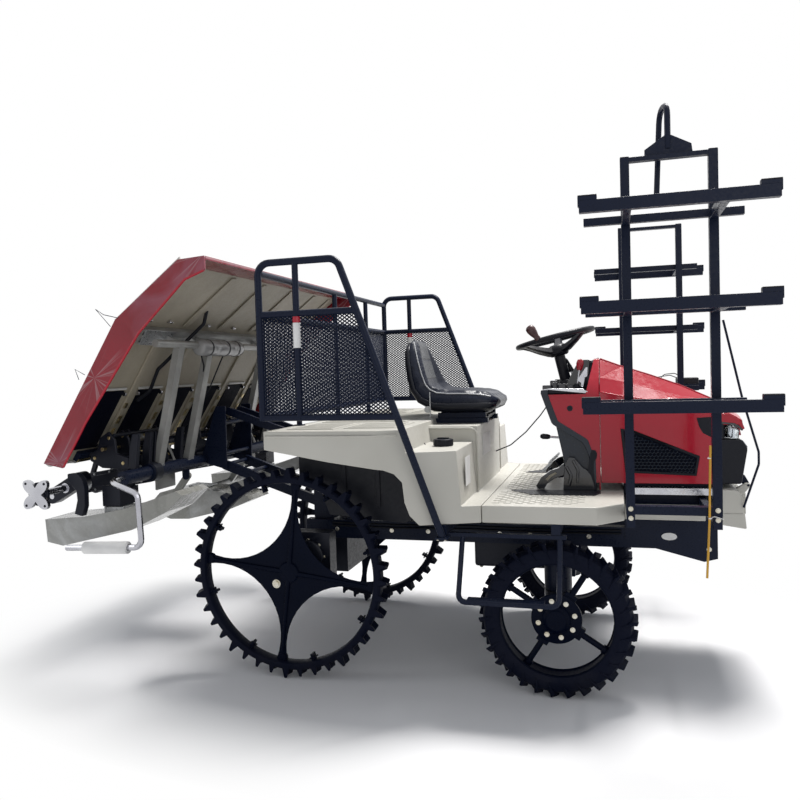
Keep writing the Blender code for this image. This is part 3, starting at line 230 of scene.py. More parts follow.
def film_group():
    """Clear wrapping: where it stands off and looks milky, how it is creased, and painted highlights along
    its creases.
    """
    group, given, out = new_group("clear_film", {"Size": 5.0}, ("Milk", "Fold", "CreaseHighlights"))
    where = add(group, "TexCoord")["Object"]
    bend = add(group, "TexNoise", {"Vector": where, "Scale": given["Size"], "Detail": 4.0,
            "Distortion": 1.2})
    mixed = add(group, "Mix", {"Factor": 0.12, 4: where, 5: bend["Color"]}, data_type="VECTOR")[1]
    edges = add(group, "TexVoronoi", {"Vector": mixed, "Scale": 7.0}, feature="DISTANCE_TO_EDGE")
    # It is bunched up at the top and at the foot, and lies close between
    height = add(group, "SeparateXYZ", {0: where})["Z"]
    loose = calc(group, "MAXIMUM", ramp(group, height, 1.42, 1.72), ramp(group, height, 1.14, 1.0))
    milky = ramp(group, bend["Fac"], 0.5, 0.72)
    # Painted highlights along sharp creases that run out from the places where it is tied or pulled tight
    rays = pulled_crease_highlights(group, where, -1.149, 1.376, 1.0)
    for x, z, seed in ((-0.606, 1.864, 9.0), (-1.352, 1.01, 17.0)):
        rays = calc(group, "MAXIMUM", rays, pulled_crease_highlights(group, where, x, z, seed))
    feed(group, out, {"Milk": calc(group, "MULTIPLY", milky, ramp(group, loose, start=0.03)), "CreaseHighlights": rays,
            "Fold": ramp(group, edges["Distance"], 0.0, 0.16, interpolation_type="SMOOTHSTEP")})
    return group


UNEVEN = uneven_group()
DRY_SOIL = dust_group()
FINE_SURFACE = texture_group()
CLEAR_FILM = film_group()


# Finishes

def mix_colour(tree, mask, first, second):
    """A colour that goes from first to second with the mask; either may be a link."""
    ends = [(*end, 1.0) if isinstance(end, tuple) else end for end in (first, second)]
    return add(tree, "Mix", {"Factor": mask, 6: ends[0], 7: ends[1]}, data_type="RGBA")[2]


def uneven_gloss(tree, shader, cloud, low, high, grain, relief):
    """Roughness from low to high in clouds over a fine grain; returns the clouds' mask."""
    clouds = add(tree, "Group", {"Size": cloud}, node_tree=UNEVEN)
    fine = add(tree, "Group", {"Size": grain}, node_tree=FINE_SURFACE)
    bump = add(tree, "Bump", {"Strength": relief, "Distance": 0.004, "Height": fine["Height"]})
    feed(tree, shader, {"Roughness": ramp(tree, clouds["Fine"], start=low, end=high), "Normal": bump[0]})
    return clouds["Mask"]


def coated(name, colour, roughness, metallic=0.0, worn=None, cloud=5.0, grain=260.0, relief=0.05, soil=0.0,
        soil_top=0.6, coat=0.0, spread=0.1, shine=0.5):
    """A painted, moulded or cast finish: uneven colour and gloss, fine surface, dry soil."""
    material, tree, shader = new_material(name, {"Metallic": metallic, "Coat Weight": coat,
            "Coat Roughness": 0.08, "Specular IOR Level": shine})
    mask = uneven_gloss(tree, shader, cloud, max(0.03, roughness - spread), min(1.0, roughness + spread),
            grain, relief)
    base = mix_colour(tree, mask, colour, worn or tuple(c * 0.78 for c in colour))
    if soil:
        dust = add(tree, "Group", {"Top": soil_top, "Amount": soil}, node_tree=DRY_SOIL)
        base = mix_colour(tree, dust["Mask"], base, (0.36, 0.33, 0.3))
    feed(tree, shader, {"Base Color": base})
    return material


def filmed(name, colour, film, streaks, roughness, creases=0.35, lines=0.5):
    """A surface still in its clear wrapping: milky where the film stands off, creased all over, with
    painted highlights along the creases.
    """
    material = coated(name, colour, roughness, cloud=3.0, coat=0.35, spread=0.06, shine=0.3)
    tree = material.node_tree
    shader = tree.nodes["Principled BSDF"]
    bare, grain = (shader.inputs[key].links[0].from_socket for key in ("Base Color", "Normal"))
    wrap = add(tree, "Group", {"Size": 3.2}, node_tree=CLEAR_FILM)
    base = mix_colour(tree, calc(tree, "MULTIPLY", wrap["Milk"], streaks), bare, film)
    # The creases' crests are given a lighter colour: a painted highlight
    crease_highlight_colour = tuple(min(1.0, c * 0.6 + 0.3) for c in film)
    base = mix_colour(tree, calc(tree, "MULTIPLY", wrap["CreaseHighlights"], lines), base, crease_highlight_colour)
    fold = add(tree, "Bump", {"Strength": creases, "Distance": 0.01, "Height": wrap["Fold"],
            "Normal": grain})
    feed(tree, shader, {"Base Color": base, "Normal": fold[0]})
    return material


def clear_lens():
    material, tree, shader = new_material("clear_lamp_lens",
            {"Base Color": (0.92, 0.95, 0.97, 1.0), "Transmission Weight": 1.0, "IOR": 1.3})
    uneven_gloss(tree, shader, 30.0, 0.02, 0.08, 70.0, 0.05)
    return material


BLACK_PAINT = coated("black_frame_paint", (0.006, 0.0098, 0.025), 0.34, worn=(0.0076, 0.0116, 0.0275),
        relief=0.02, soil=0.02, soil_top=0.7, shine=0.12)
TYRE_RUBBER = coated("black_tyre_rubber", (0.002, 0.0036, 0.012), 0.55, worn=(0.0036, 0.0054, 0.015),
        grain=420.0, relief=0.06, soil=0.03, soil_top=0.3, shine=0.07)
WHEEL_PAINT = coated("black_wheel_paint", (0.0014, 0.0032, 0.011), 0.33, worn=(0.0026, 0.0046, 0.0135),
        relief=0.02, soil=0.012, soil_top=0.35, shine=0.045)
IVORY = coated("ivory_plastic", (0.52, 0.51, 0.47), 0.4, worn=(0.47, 0.46, 0.42), cloud=3.0, grain=700.0,
        relief=0.02, soil=0.08, soil_top=1.1, shine=0.35)
RED_GLOSS = coated("red_hood_paint", (0.4, 0.005, 0.022), 0.2, worn=(0.35, 0.0045, 0.019), cloud=2.0,
        grain=30.0, relief=0.012, coat=0.35, spread=0.05, shine=0.25)
BLACK_PLASTIC = coated("black_moulding", (0.004, 0.0052, 0.0105), 0.42, grain=900.0, relief=0.05,
        shine=0.22)
GLOSS_BLACK = coated("glossy_black_trim", (0.0036, 0.005, 0.011), 0.14, worn=(0.005, 0.0066, 0.0135),
        relief=0.02, coat=0.6, spread=0.05, shine=0.45)
SLATE = coated("slate_moulding", (0.0075, 0.013, 0.0245), 0.22, worn=(0.0095, 0.016, 0.029), grain=500.0,
        relief=0.02, coat=0.25, spread=0.06, shine=0.25)
PALE_SLATE = coated("pale_slate_lid", (0.17, 0.2, 0.26), 0.35, grain=500.0, relief=0.03)
BEIGE_SHEET = coated("beige_tray_sheet", (0.37, 0.33, 0.26), 0.5, worn=(0.29, 0.26, 0.2), cloud=4.0,
        relief=0.04)
ZINC = coated("zinc_plating", (0.62, 0.61, 0.56), 0.28, metallic=1.0, worn=(0.5, 0.46, 0.36), cloud=30.0,
        relief=0.03)
BRASS = coated("yellow_passivated_steel", (0.5, 0.4, 0.2), 0.3, metallic=1.0, worn=(0.42, 0.36, 0.24),
        cloud=30.0, relief=0.03)
BRIGHT = coated("bright_steel", (0.6, 0.61, 0.64), 0.2, metallic=1.0, worn=(0.4, 0.4, 0.44), relief=0.02)
GREY_STEEL = coated("grey_plated_channel", (0.42, 0.43, 0.44), 0.34, metallic=0.75, worn=(0.3, 0.31, 0.32),
        relief=0.03)
WHITE_FOAM = coated("white_foam", (0.8, 0.8, 0.8), 0.7, grain=500.0, relief=0.12)
YELLOW = coated("yellow_marker_paint", (0.62, 0.33, 0.02), 0.35, relief=0.02)
BELT_RUBBER = coated("feed_belt_rubber", (0.0018, 0.0026, 0.008), 0.62, grain=600.0, relief=0.05,
        shine=0.05)
LANE_WHITE = coated("lane_white", (0.62, 0.62, 0.6), 0.38, relief=0.02)
GREY_CHANNEL = coated("grey_painted_channel", (0.36, 0.36, 0.35), 0.4, metallic=0.3,
        worn=(0.26, 0.26, 0.25), cloud=9.0, relief=0.03, coat=0.2)
BROWN_KNOB = coated("brown_knob", (0.045, 0.01, 0.012), 0.36, grain=400.0, relief=0.05)
DIAL_FACE = coated("dial_face", (0.45, 0.48, 0.52), 0.25, cloud=60.0, worn=(0.2, 0.22, 0.26), coat=0.5)
SEAT_VINYL = coated("seat_pad_vinyl", (0.007, 0.01, 0.0215), 0.3, worn=(0.0088, 0.012, 0.0245),
        grain=1100.0, relief=0.012, spread=0.04, shine=0.2)
SEAT_INSERT = coated("seat_insert_vinyl", (0.02, 0.023, 0.03), 0.36, grain=1100.0, relief=0.02, shine=0.4)
# Piping coloured light grey on the dark seat: a painted highlight along its edge
SEAT_PIPING_HIGHLIGHT = coated("seat_piping_painted_highlight", (0.42, 0.43, 0.45), 0.34, grain=900.0, relief=0.03)
DARK_CASE = coated("dark_gear_case", (0.0085, 0.0105, 0.019), 0.38, metallic=0.2, grain=300.0, relief=0.1,
        shine=0.25)
WRAPPED_RED = filmed("red_cover_in_film", (0.25, 0.0022, 0.015), (0.26, 0.085, 0.125), 0.75, 0.16, 0.18,
        0.6)
WRAPPED_FLOAT = filmed("float_in_film", (0.3, 0.3, 0.28), (0.5, 0.51, 0.52), 0.7, 0.25)
FILM_WRAP = filmed("motor_in_film", (0.36, 0.36, 0.36), (0.66, 0.67, 0.68), 0.9, 0.2)
CLEAR_LENS = clear_lens()


# Modelling helpers, all on a bmesh

# How a flat outline (u, v) and its depth lie in the machine: seen from the side, from above, from behind
SIDE = Matrix(((1, 0, 0, 0), (0, 0, 1, 0), (0, 1, 0, 0), (0, 0, 0, 1)))
PLAN = Matrix.Identity(4)
FACE = Matrix(((0, 0, 1, 0), (1, 0, 0, 0), (0, 1, 0, 0), (0, 0, 0, 1)))


def block(bm, low, high):
    made = bmesh.ops.create_cube(bm, size=1.0)["verts"]
    low, high = Vector(low), Vector(high)
    bmesh.ops.scale(bm, vec=high - low, verts=made)
    bmesh.ops.translate(bm, vec=(low + high) / 2, verts=made)
    return made


def bar(bm, start, end, radius, sides=12, end_radius=None):
    start, end = Vector(start), Vector(end)
    along = end - start
    turn = along.to_track_quat("Z", "Y").to_matrix().to_4x4()
    return bmesh.ops.create_cone(bm, cap_ends=True, segments=sides, radius1=radius,
            radius2=radius if end_radius is None else end_radius, depth=along.length,
            matrix=Matrix.Translation((start + end) / 2) @ turn)["verts"]


def turned_corners(points, radius, steps=4):
    """A path whose corners are rounded."""
    path = [Vector(points[0])]
    for before, corner, after in zip(points, points[1:], points[2:]):
        corner = Vector(corner)
        back = (Vector(before) - corner).normalized()
        ahead = (Vector(after) - corner).normalized()
        half = back.angle(ahead) / 2
        reach = min(radius / math.tan(half), 0.45 * (Vector(before) - corner).length,
                0.45 * (Vector(after) - corner).length)
        bend = reach * math.tan(half)
        centre = corner + (back + ahead).normalized() * bend / math.sin(half)
        first = (corner + back * reach - centre).normalized()
        last = (corner + ahead * reach - centre).normalized()
        path += [centre + first.slerp(last, step / steps) * bend for step in range(steps + 1)]
    path.append(Vector(points[-1]))
    return path


def pipe(bm, points, radius, corner=None, sides=10, steps=4):
    """A round tube along a path: one ring, extruded from point to point."""
    path = turned_corners(points, corner, steps) if corner else [Vector(p) for p in points]
    heads = [(b - a).normalized() for a, b in zip(path, path[1:])]
    ways = [heads[0]] + [(a + b).normalized() for a, b in zip(heads, heads[1:])] + [heads[-1]]
    turn = ways[0].to_track_quat("Z", "Y").to_matrix().to_4x4()
    ring = bmesh.ops.create_circle(bm, cap_ends=True, segments=sides, radius=radius,
            matrix=Matrix.Translation(path[0]) @ turn)["verts"]
    start_face = [f for f in ring[0].link_faces if all(v in ring for v in f.verts)]
    edges = list(start_face[0].edges)
    for here, there, way, next_way in zip(path, path[1:], ways, ways[1:]):
        grown = bmesh.ops.extrude_edge_only(bm, edges=edges)["geom"]
        ring = [e for e in grown if isinstance(e, bmesh.types.BMVert)]
        edges = [e for e in grown if isinstance(e, bmesh.types.BMEdge)]
        swing = way.rotation_difference(next_way).to_matrix()
        bmesh.ops.rotate(bm, cent=here, matrix=swing, verts=ring)
        bmesh.ops.translate(bm, vec=there - here, verts=ring)
    bmesh.ops.holes_fill(bm, edges=edges, sides=sides)


def slab(bm, outline, low, high, view=SIDE):
    """A flat outline given a thickness, from low to high across its view."""
    verts = [bm.verts.new(view @ Vector((u, v, low))) for u, v in outline]
    face = bm.faces.new(verts)
    grown = bmesh.ops.extrude_face_region(bm, geom=[face])["geom"]
    moved = [g for g in grown if isinstance(g, bmesh.types.BMVert)]
    shift = (view @ Vector((0, 0, high))) - (view @ Vector((0, 0, low)))
    bmesh.ops.translate(bm, vec=shift, verts=moved)
    return verts + moved


def skin(bm, rows, closed=False):
    """A surface drawn through rows of points: the first row, extruded from row to row."""
    verts = [bm.verts.new(p) for p in rows[0]]
    pairs = list(zip(verts, verts[1:]))
    if closed:
        pairs.append((verts[-1], verts[0]))
    edges = [bm.edges.new(pair) for pair in pairs]
    made = list(verts)
    order = verts
    for row in rows[1:]:
        old = {v: i for i, v in enumerate(order)}
        grown = bmesh.ops.extrude_edge_only(bm, edges=edges)["geom"]
        edges = [e for e in grown if isinstance(e, bmesh.types.BMEdge)]
        fresh = [e for e in grown if isinstance(e, bmesh.types.BMVert)]
        follow = [None] * len(order)
        for vert in fresh:
            for edge in vert.link_edges:
                other = edge.other_vert(vert)
                if other in old:
                    follow[old[other]] = vert
        for vert, point in zip(follow, row):
            vert.co = Vector(point)
        order = follow
        made += follow
    return made


def lathe(bm, profile, centre, axis=(0, 1, 0), steps=32):
    """A profile of (distance along the axis, radius), turned round it."""
    axis = Vector(axis).normalized()
    across = axis.orthogonal().normalized()
    centre = Vector(centre)
    verts = [bm.verts.new(centre + axis * along + across * radius) for along, radius in profile]
    edges = [bm.edges.new(pair) for pair in zip(verts, verts[1:])]
    bmesh.ops.spin(bm, geom=verts + edges, cent=centre, axis=axis, angle=math.tau, steps=steps,
            use_merge=True)


def bolt(bm, place, axis, size=0.007, height=0.005):
    """A hexagon head on a washer."""
    place, axis = Vector(place), Vector(axis).normalized()
    bar(bm, place, place + axis * height * 0.3, size * 1.35, 12)
    bar(bm, place + axis * height * 0.3, place + axis * height, size, 6)


def finish_piece(name, bm, material, body="chassis", stands_for=(), smooth=35.0, bevel=0.0, segments=2,
        wall=0.0):
    """Turns a bmesh into a finished piece that rides on a body."""
    bmesh.ops.remove_doubles(bm, verts=bm.verts, dist=0.00002)
    bmesh.ops.translate(bm, vec=(REAR_AXLE_X, 0, 0), verts=bm.verts)
    bmesh.ops.recalc_face_normals(bm, faces=bm.faces)
    mesh = bpy.data.meshes.new(name)
    bm.to_mesh(mesh)
    bm.free()
    mesh.materials.append(material)
    mesh.shade_smooth()
    mesh.set_sharp_from_angle(angle=math.radians(smooth))
    piece = add_object(name, mesh)
    if wall:
        solid = piece.modifiers.new("wall", "SOLIDIFY")
        solid.thickness = wall
        solid.offset = -1.0
    if bevel:
        round_edges(piece, bevel, segments)
    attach(piece, body)
    if stands_for:
        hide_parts(*stands_for)
    return piece


def round_edges(piece, width, segments=2, angle=35.0):
    edge = piece.modifiers.new("edges", "BEVEL")
    edge.width = width
    edge.segments = segments
    edge.limit_method = "ANGLE"
    edge.angle_limit = math.radians(angle)
    edge.harden_normals = True


def dressed(node, material, width=0.002, segments=2):
    """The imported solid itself, merged, with its edges rounded, in its real finish."""
    source = frame["nodes"][node]
    bm = bmesh.new()
    bm.from_mesh(source.data)
    bmesh.ops.remove_doubles(bm, verts=bm.verts, dist=0.00002)
    bmesh.ops.dissolve_limit(bm, angle_limit=math.radians(0.5), verts=bm.verts, edges=bm.edges)
    mesh = bpy.data.meshes.new(node + "_dressed")
    bm.to_mesh(mesh)
    bm.free()
    mesh.materials.append(material)
    mesh.shade_smooth()
    mesh.set_sharp_from_angle(angle=math.radians(35.0))
    piece = add_object(node + "_dressed", mesh)
    round_edges(piece, width, segments)
    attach(piece, BODY_OF[node])
    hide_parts(node)
    return piece


# Wheels

def rear_wheel(word, side):
    centre_z, tip, root, inner = 0.477, 0.475, 0.44, 0.404
    outer_y, width = 0.604, 0.064
    body = "rear_wheel_" + word
    middle = side * (outer_y - width / 2)
    centre = Vector((0, 0, centre_z))

    # Solid rubber ring with a rounded crown and a lip at the rim
    bm = bmesh.new()
    half = width / 2
    lathe(bm, [(-half * 0.75, inner + 0.001), (-half, inner + 0.006), (-half, root - 0.012),
            (-half * 0.7, root - 0.002), (0, root), (half * 0.7, root - 0.002), (half, root - 0.012),
            (half, inner + 0.006), (half * 0.75, inner + 0.001), (-half * 0.75, inner + 0.001)],
            (0, middle, centre_z), steps=96)
    # Paddle lugs: a long one at every fourth place, the rest hooked and shorter
    count = 40
    for lug in range(count):
        angle = math.tau * (lug + 0.3) / count
        long = lug % 4 == 0
        height = tip - root if long else (tip - root) * 0.72
        thick = 0.02 if long else 0.017
        for row in (-1, 1):
            verts = block(bm, (-thick, 0.0, root - 0.016), (thick, half, root + height))
            for vert in verts:
                if vert.co.z > root:
                    vert.co.x = vert.co.x * 0.32
                if vert.co.y < 0.001:
                    vert.co.x += 0.012
                vert.co.y *= row
            turn = Matrix.Rotation(angle, 4, "Y")
            bmesh.ops.transform(bm, matrix=Matrix.Translation((0, middle, centre_z)) @ turn, verts=verts)
    finish_piece(body + "_tyre", bm, TYRE_RUBBER, body, (body,), bevel=0.003)

    # Star disc: each opening's inner edge is an arc from one arm's tip to the next
    bm = bmesh.new()
    reach = inner + 0.004
    waist, tip_angle = 0.147, math.radians(3.8)
    near, far = reach * math.cos(math.pi / 4 - tip_angle), reach * math.sin(math.pi / 4 - tip_angle)
    arc_at = (near * near + far * far - waist * waist) / (2 * (near - waist))
    arc_r = arc_at - waist
    swing = math.asin(far / arc_r)
    tilt = math.radians(-7.0)
    outline = []
    for arm in range(4):
        way = math.tau * (arm + 0.5) / 4 + tilt
        for step in range(17):
            turn = swing * (step / 8 - 1)
            along, across = arc_at - arc_r * math.cos(turn), arc_r * math.sin(turn)
            outline.append((along * math.cos(way) - across * math.sin(way),
                    centre_z + along * math.sin(way) + across * math.cos(way)))
    slab(bm, outline, side * 0.57, side * 0.576)
    for arm in range(4):
        angle = math.tau * arm / 4 + tilt
        way = Vector((math.cos(angle), 0, math.sin(angle)))
        base = centre + Vector((0, side * 0.577, 0))
        bar(bm, base + way * 0.03, base + way * (reach - 0.02), 0.012, 10, 0.006)
        tip_at = base + way * (reach - 0.012)
        bar(bm, tip_at - Vector((0, side * 0.022, 0)), tip_at + Vector((0, side * 0.006, 0)), 0.022, 10)
    for clip in range(8):
        angle = math.tau * (clip + 0.5) / 8 + tilt
        turn = Matrix.Translation((0, side * 0.573, centre_z)) @ Matrix.Rotation(-angle, 4, "Y")
        for low, high in (((inner - 0.03, -0.018, -0.006), (inner + 0.002, 0.018, 0.006)),
                ((inner - 0.014, -0.018, -0.016), (inner - 0.008, 0.018, 0.016))):
            verts = block(bm, low, high)
            bmesh.ops.transform(bm, matrix=turn, verts=verts)
    lathe(bm, [(side * along, radius) for along, radius in ((-0.076, 0.0), (-0.076, 0.048), (0.004, 0.048),
            (0.01, 0.043), (0.012, 0.02), (0.012, 0.0))], (0, side * 0.576, centre_z), steps=28)
    finish_piece(body + "_star", bm, WHEEL_PAINT, body, (body,), bevel=0.0015)

    bm = bmesh.new()
    bolt(bm, (-0.062, side * 0.5765, centre_z - 0.055), (0, side, 0), 0.015, 0.008)
    finish_piece(body + "_bolts", bm, ZINC, body, bevel=0.0008)


def front_wheel(word, side):
    axle_x, centre_z, tip, root, inner = 1.175, 0.325, 0.324, 0.307, 0.23
    outer_y, width = 0.573, 0.1
    body = "front_wheel_" + word
    half = width / 2
    middle = side * (outer_y - half)
    bm = bmesh.new()
    lathe(bm, [(-half * 0.8, inner + 0.004), (-half * 0.94, inner + 0.024), (-half * 0.98, root - 0.034),
            (-half * 0.84, root - 0.014), (-half * 0.45, root - 0.003), (0, root),
            (half * 0.45, root - 0.003), (half * 0.84, root - 0.014), (half * 0.98, root - 0.034),
            (half * 0.94, inner + 0.024), (half * 0.8, inner + 0.004), (-half * 0.8, inner + 0.004)],
            (axle_x, middle, centre_z), steps=80)
    # Close bar lugs in two staggered rows, swept back and carried down the sidewall as fins
    count = 30
    for lug in range(count):
        for row in (-1, 1):
            angle = math.tau * (lug + (0.0 if row < 0 else 0.5)) / count
            verts = block(bm, (-0.0085, 0.002, root - 0.02), (0.0085, half - 0.001, tip))
            for vert in verts:
                if vert.co.z > root:
                    vert.co.x *= 0.45
                    if vert.co.y > 0.01:
                        vert.co += Vector((0, -0.008, -0.004))
                if vert.co.y > 0.01:
                    vert.co.x += 0.026
                vert.co.y *= row
            verts += bar(bm, (0.022, row * half * 0.93, root - 0.012),
                    (0.034, row * half * 0.985, root - 0.052), 0.006, 6, 0.003)
            turn = Matrix.Rotation(angle, 4, "Y")
            bmesh.ops.transform(bm, matrix=Matrix.Translation((axle_x, middle, centre_z)) @ turn,
                    verts=verts)
    finish_piece(body + "_tyre", bm, TYRE_RUBBER, body, (body,), bevel=0.0025)

    bm = bmesh.new()
    lathe(bm, [(-half * 0.78, inner + 0.01), (-half * 0.86, inner + 0.001), (-half * 0.7, inner - 0.002),
            (-half * 0.5, inner + 0.006), (half * 0.5, inner + 0.006), (half * 0.7, inner - 0.002),
            (half * 0.86, inner + 0.001), (half * 0.78, inner + 0.01), (-half * 0.78, inner + 0.01)],
            (axle_x, middle, centre_z), steps=64)
    face = middle + side * 0.012
    lathe(bm, [(side * along, radius) for along, radius in ((-0.014, 0.0), (-0.014, 0.098),
            (-0.004, 0.104), (0.004, 0.104), (0.008, 0.098), (0.009, 0.0))], (axle_x, face, centre_z),
            steps=40)
    for spoke in range(4):
        angle = math.tau * (spoke + 0.64) / 4
        way = Vector((math.cos(angle), 0, math.sin(angle)))
        base = Vector((axle_x, middle, centre_z))
        bar(bm, base + way * 0.08, base + way * (inner + 0.006), 0.013, 12)
        bar(bm, base + way * (inner - 0.016), base + way * (inner + 0.006), 0.019, 12)
        lug = Matrix.Translation((axle_x, middle, centre_z)) @ Matrix.Rotation(-angle, 4, "Y")
        verts = block(bm, (0.086, -0.012, -0.026), (0.122, 0.012, 0.026))
        bmesh.ops.transform(bm, matrix=lug, verts=verts)
    bar(bm, (axle_x, side * 0.4685, centre_z), (axle_x, face, centre_z), 0.05, 20)
    lathe(bm, [(side * along, radius) for along, radius in ((0.0, 0.06), (0.014, 0.06), (0.022, 0.054),
            (0.026, 0.046), (0.033, 0.04), (0.036, 0.0))], (axle_x, face, centre_z), steps=32)
    finish_piece(body + "_rim", bm, WHEEL_PAINT, body, (body,), bevel=0.0012)

    bm = bmesh.new()
    for index in range(8):
        angle = math.tau * (index + 0.3) / 8
        bolt(bm, (axle_x + 0.076 * math.cos(angle), face + side * 0.0085,
                centre_z + 0.076 * math.sin(angle)), (0, side, 0), 0.008, 0.007)
    finish_piece(body + "_bolts", bm, ZINC, body, bevel=0.0006)


def sides(side, near, far):
    """Two distances from the middle plane as low and high y on one side of the machine."""
    return sorted((side * near, side * far))


def side_block(bm, side, low, high):
    """A block whose y is given as distances from the middle plane."""
    near, far = sides(side, low[1], high[1])
    return block(bm, (low[0], near, low[2]), (high[0], far, high[2]))


def strut(bm, start, end, low_y, high_y, radius, steps=8):
    """A flat bar with round ends between two pins of the side view."""
    start, end = Vector(start), Vector(end)
    heading = math.atan2(end.y - start.y, end.x - start.x)
    outline = [(pin.x + radius * math.cos(first + math.pi * step / steps),
            pin.y + radius * math.sin(first + math.pi * step / steps)) for pin,
            first in ((end, heading - math.pi / 2), (start, heading + math.pi / 2))
            for step in range(steps + 1)]
    slab(bm, outline, low_y, high_y)


def span(outline, point, way):
    """Where a straight line enters and leaves a flat outline."""
    hits = []
    for (u0, v0), (u1, v1) in zip(outline, outline[1:] + outline[:1]):
        du, dv = u1 - u0, v1 - v0
        turn = way[0] * dv - way[1] * du
        if abs(turn) > 1e-9:
            share = ((u0 - point[0]) * way[1] - (v0 - point[1]) * way[0]) / turn
            if 0.0 <= share <= 1.0:
                hits.append(((u0 - point[0]) * dv - (v0 - point[1]) * du) / turn)
    return (min(hits), max(hits)) if len(hits) > 1 else None


def diamond_mesh(bm, outline, view, depth, pitch=0.0195, slope=0.72, thick=0.0027):
    """Expanded metal: two families of straight strands, clipped to a panel."""
    us, vs = [u for u, v in outline], [v for u, v in outline]
    lean = (max(vs) - min(vs)) / slope
    for rise, lift in ((slope, 0.0005), (-slope, -0.0005)):
        for strand in range(1, int((max(us) - min(us) + lean) / pitch) + 1):
            u, v = min(us) - (lean if rise > 0 else 0.0) + strand * pitch, min(vs)
            hits = span(outline, (u, v), (1.0, rise))
            if hits and hits[1] - hits[0] > 0.004:
                ends = [view @ Vector((u + t, v + rise * t, depth + lift)) for t in hits]
                bar(bm, *ends, thick, 4)


def hex_mesh(bm, outline, view, depth, cell=0.009, thick=0.0017):
    """Honeycomb bars over a convex panel."""
    us, vs = [u for u, v in outline], [v for u, v in outline]
    centre = (sum(us) / len(us), sum(vs) / len(vs))

    def inside(u, v):
        for (u0, v0), (u1, v1) in zip(outline, outline[1:] + outline[:1]):
            here = (u1 - u0) * (v - v0) - (v1 - v0) * (u - u0)
            there = (u1 - u0) * (centre[1] - v0) - (v1 - v0) * (centre[0] - u0)
            if here * there < 0:
                return False
        return True

    rows = int((max(vs) - min(vs)) / (cell * 1.5)) + 1
    columns = int((max(us) - min(us)) / (cell * math.sqrt(3.0))) + 1
    for row in range(rows):
        for column in range(columns + 1):
            u = min(us) + (column + 0.5 * (row % 2)) * cell * math.sqrt(3.0)
            v = min(vs) + row * cell * 1.5
            corners = [(u + cell * math.sin(math.tau * k / 6), v + cell * math.cos(math.tau * k / 6))
                    for k in range(4)]
            for first, second in zip(corners, corners[1:]):
                if inside(*first) and inside(*second):
                    bar(bm, view @ Vector((*first, depth)), view @ Vector((*second, depth)), thick, 4)


# Guard rails with their expanded-metal panels

def side_guard(word, side):
    y = side * 0.865
    bm = bmesh.new()
    pipe(bm, [(0.045, y, 1.18), (0.045, y, 1.815), (0.385, y, 1.815), (0.612, y, 1.19),
            (0.752, side * 0.748, 0.697)], 0.0145, 0.05, 16, 6)
    bar(bm, (0.046, y, 1.191), (0.612, y, 1.19), 0.0135, 14)
    bar(bm, (0.046, y, 1.608), (0.46, y, 1.608), 0.0135, 14)
    bar(bm, (0.208, y, 1.191), (0.208, y, 1.814), 0.013, 14)
    side_block(bm, side, (0.727, 0.702, 0.6917), (0.775, 0.768, 0.6997))
    finish_piece("guard_tube_" + word, bm, BLACK_PAINT, "chassis", ("guard_" + word,), smooth=50.0)
    bm = bmesh.new()
    panel = [(0.05, 1.196), (0.604, 1.196), (0.455, 1.602), (0.05, 1.602)]
    diamond_mesh(bm, panel, SIDE, y)
    for start, end in zip(panel, panel[1:] + panel[:1]):
        bar(bm, (start[0], y, start[1]), (end[0], y, end[1]), 0.0028, 6)
    finish_piece("guard_mesh_" + word, bm, BLACK_PAINT, "chassis", ("guard_" + word,))
    bm = bmesh.new()
    lathe(bm, [(0.0, 0.0134), (0.0, 0.0158), (0.1, 0.0158), (0.1, 0.0134), (0.0, 0.0134)],
            (0.208, y, 1.47), (0, 0, 1), 20)
    finish_piece("guard_white_band_" + word, bm, WHITE_FOAM)
    bm = bmesh.new()
    lathe(bm, [(0.0, 0.0134), (0.0, 0.016), (0.024, 0.016), (0.024, 0.0134), (0.0, 0.0134)],
            (0.208, y, 1.5705), (0, 0, 1), 20)
    finish_piece("guard_red_band_" + word, bm, RED_GLOSS)
    bm = bmesh.new()
    for spot in ((0.735, 0.712), (0.766, 0.712), (0.735, 0.758), (0.766, 0.758)):
        bolt(bm, (spot[0], side * spot[1], 0.6917), (0, 0, -1), 0.005, 0.004)
    finish_piece("guard_foot_bolts_" + word, bm, ZINC)


def rear_guard():
    bm = bmesh.new()
    for z in (1.775, 1.608, 1.19):
        bar(bm, (0.045, -0.85, z), (0.045, 0.85, z), 0.0135, 14)
    for y in (-0.5, 0.0, 0.5):
        bar(bm, (0.045, y, 1.1325), (0.045, y, 1.775), 0.0125, 14)
        lathe(bm, [(0.0, 0.012), (0.0, 0.026), (0.004, 0.026), (0.005, 0.012)], (0.045, y, 1.1325),
                (0, 0, 1), 20)
    finish_piece("rear_guard_tube", bm, BLACK_PAINT, "chassis", ("guard_rear",), smooth=50.0)
    bm = bmesh.new()
    panel = [(-0.828, 1.196), (0.828, 1.196), (0.828, 1.602), (-0.828, 1.602)]
    diamond_mesh(bm, panel, FACE, 0.045)
    for (y0, z0), (y1, z1) in zip(panel, panel[1:] + panel[:1]):
        bar(bm, (0.045, y0, z0), (0.045, y1, z1), 0.0028, 6)
    finish_piece("rear_guard_mesh", bm, BLACK_PAINT, "chassis", ("guard_rear",))


# Seat: a padded bucket on a moulded pan

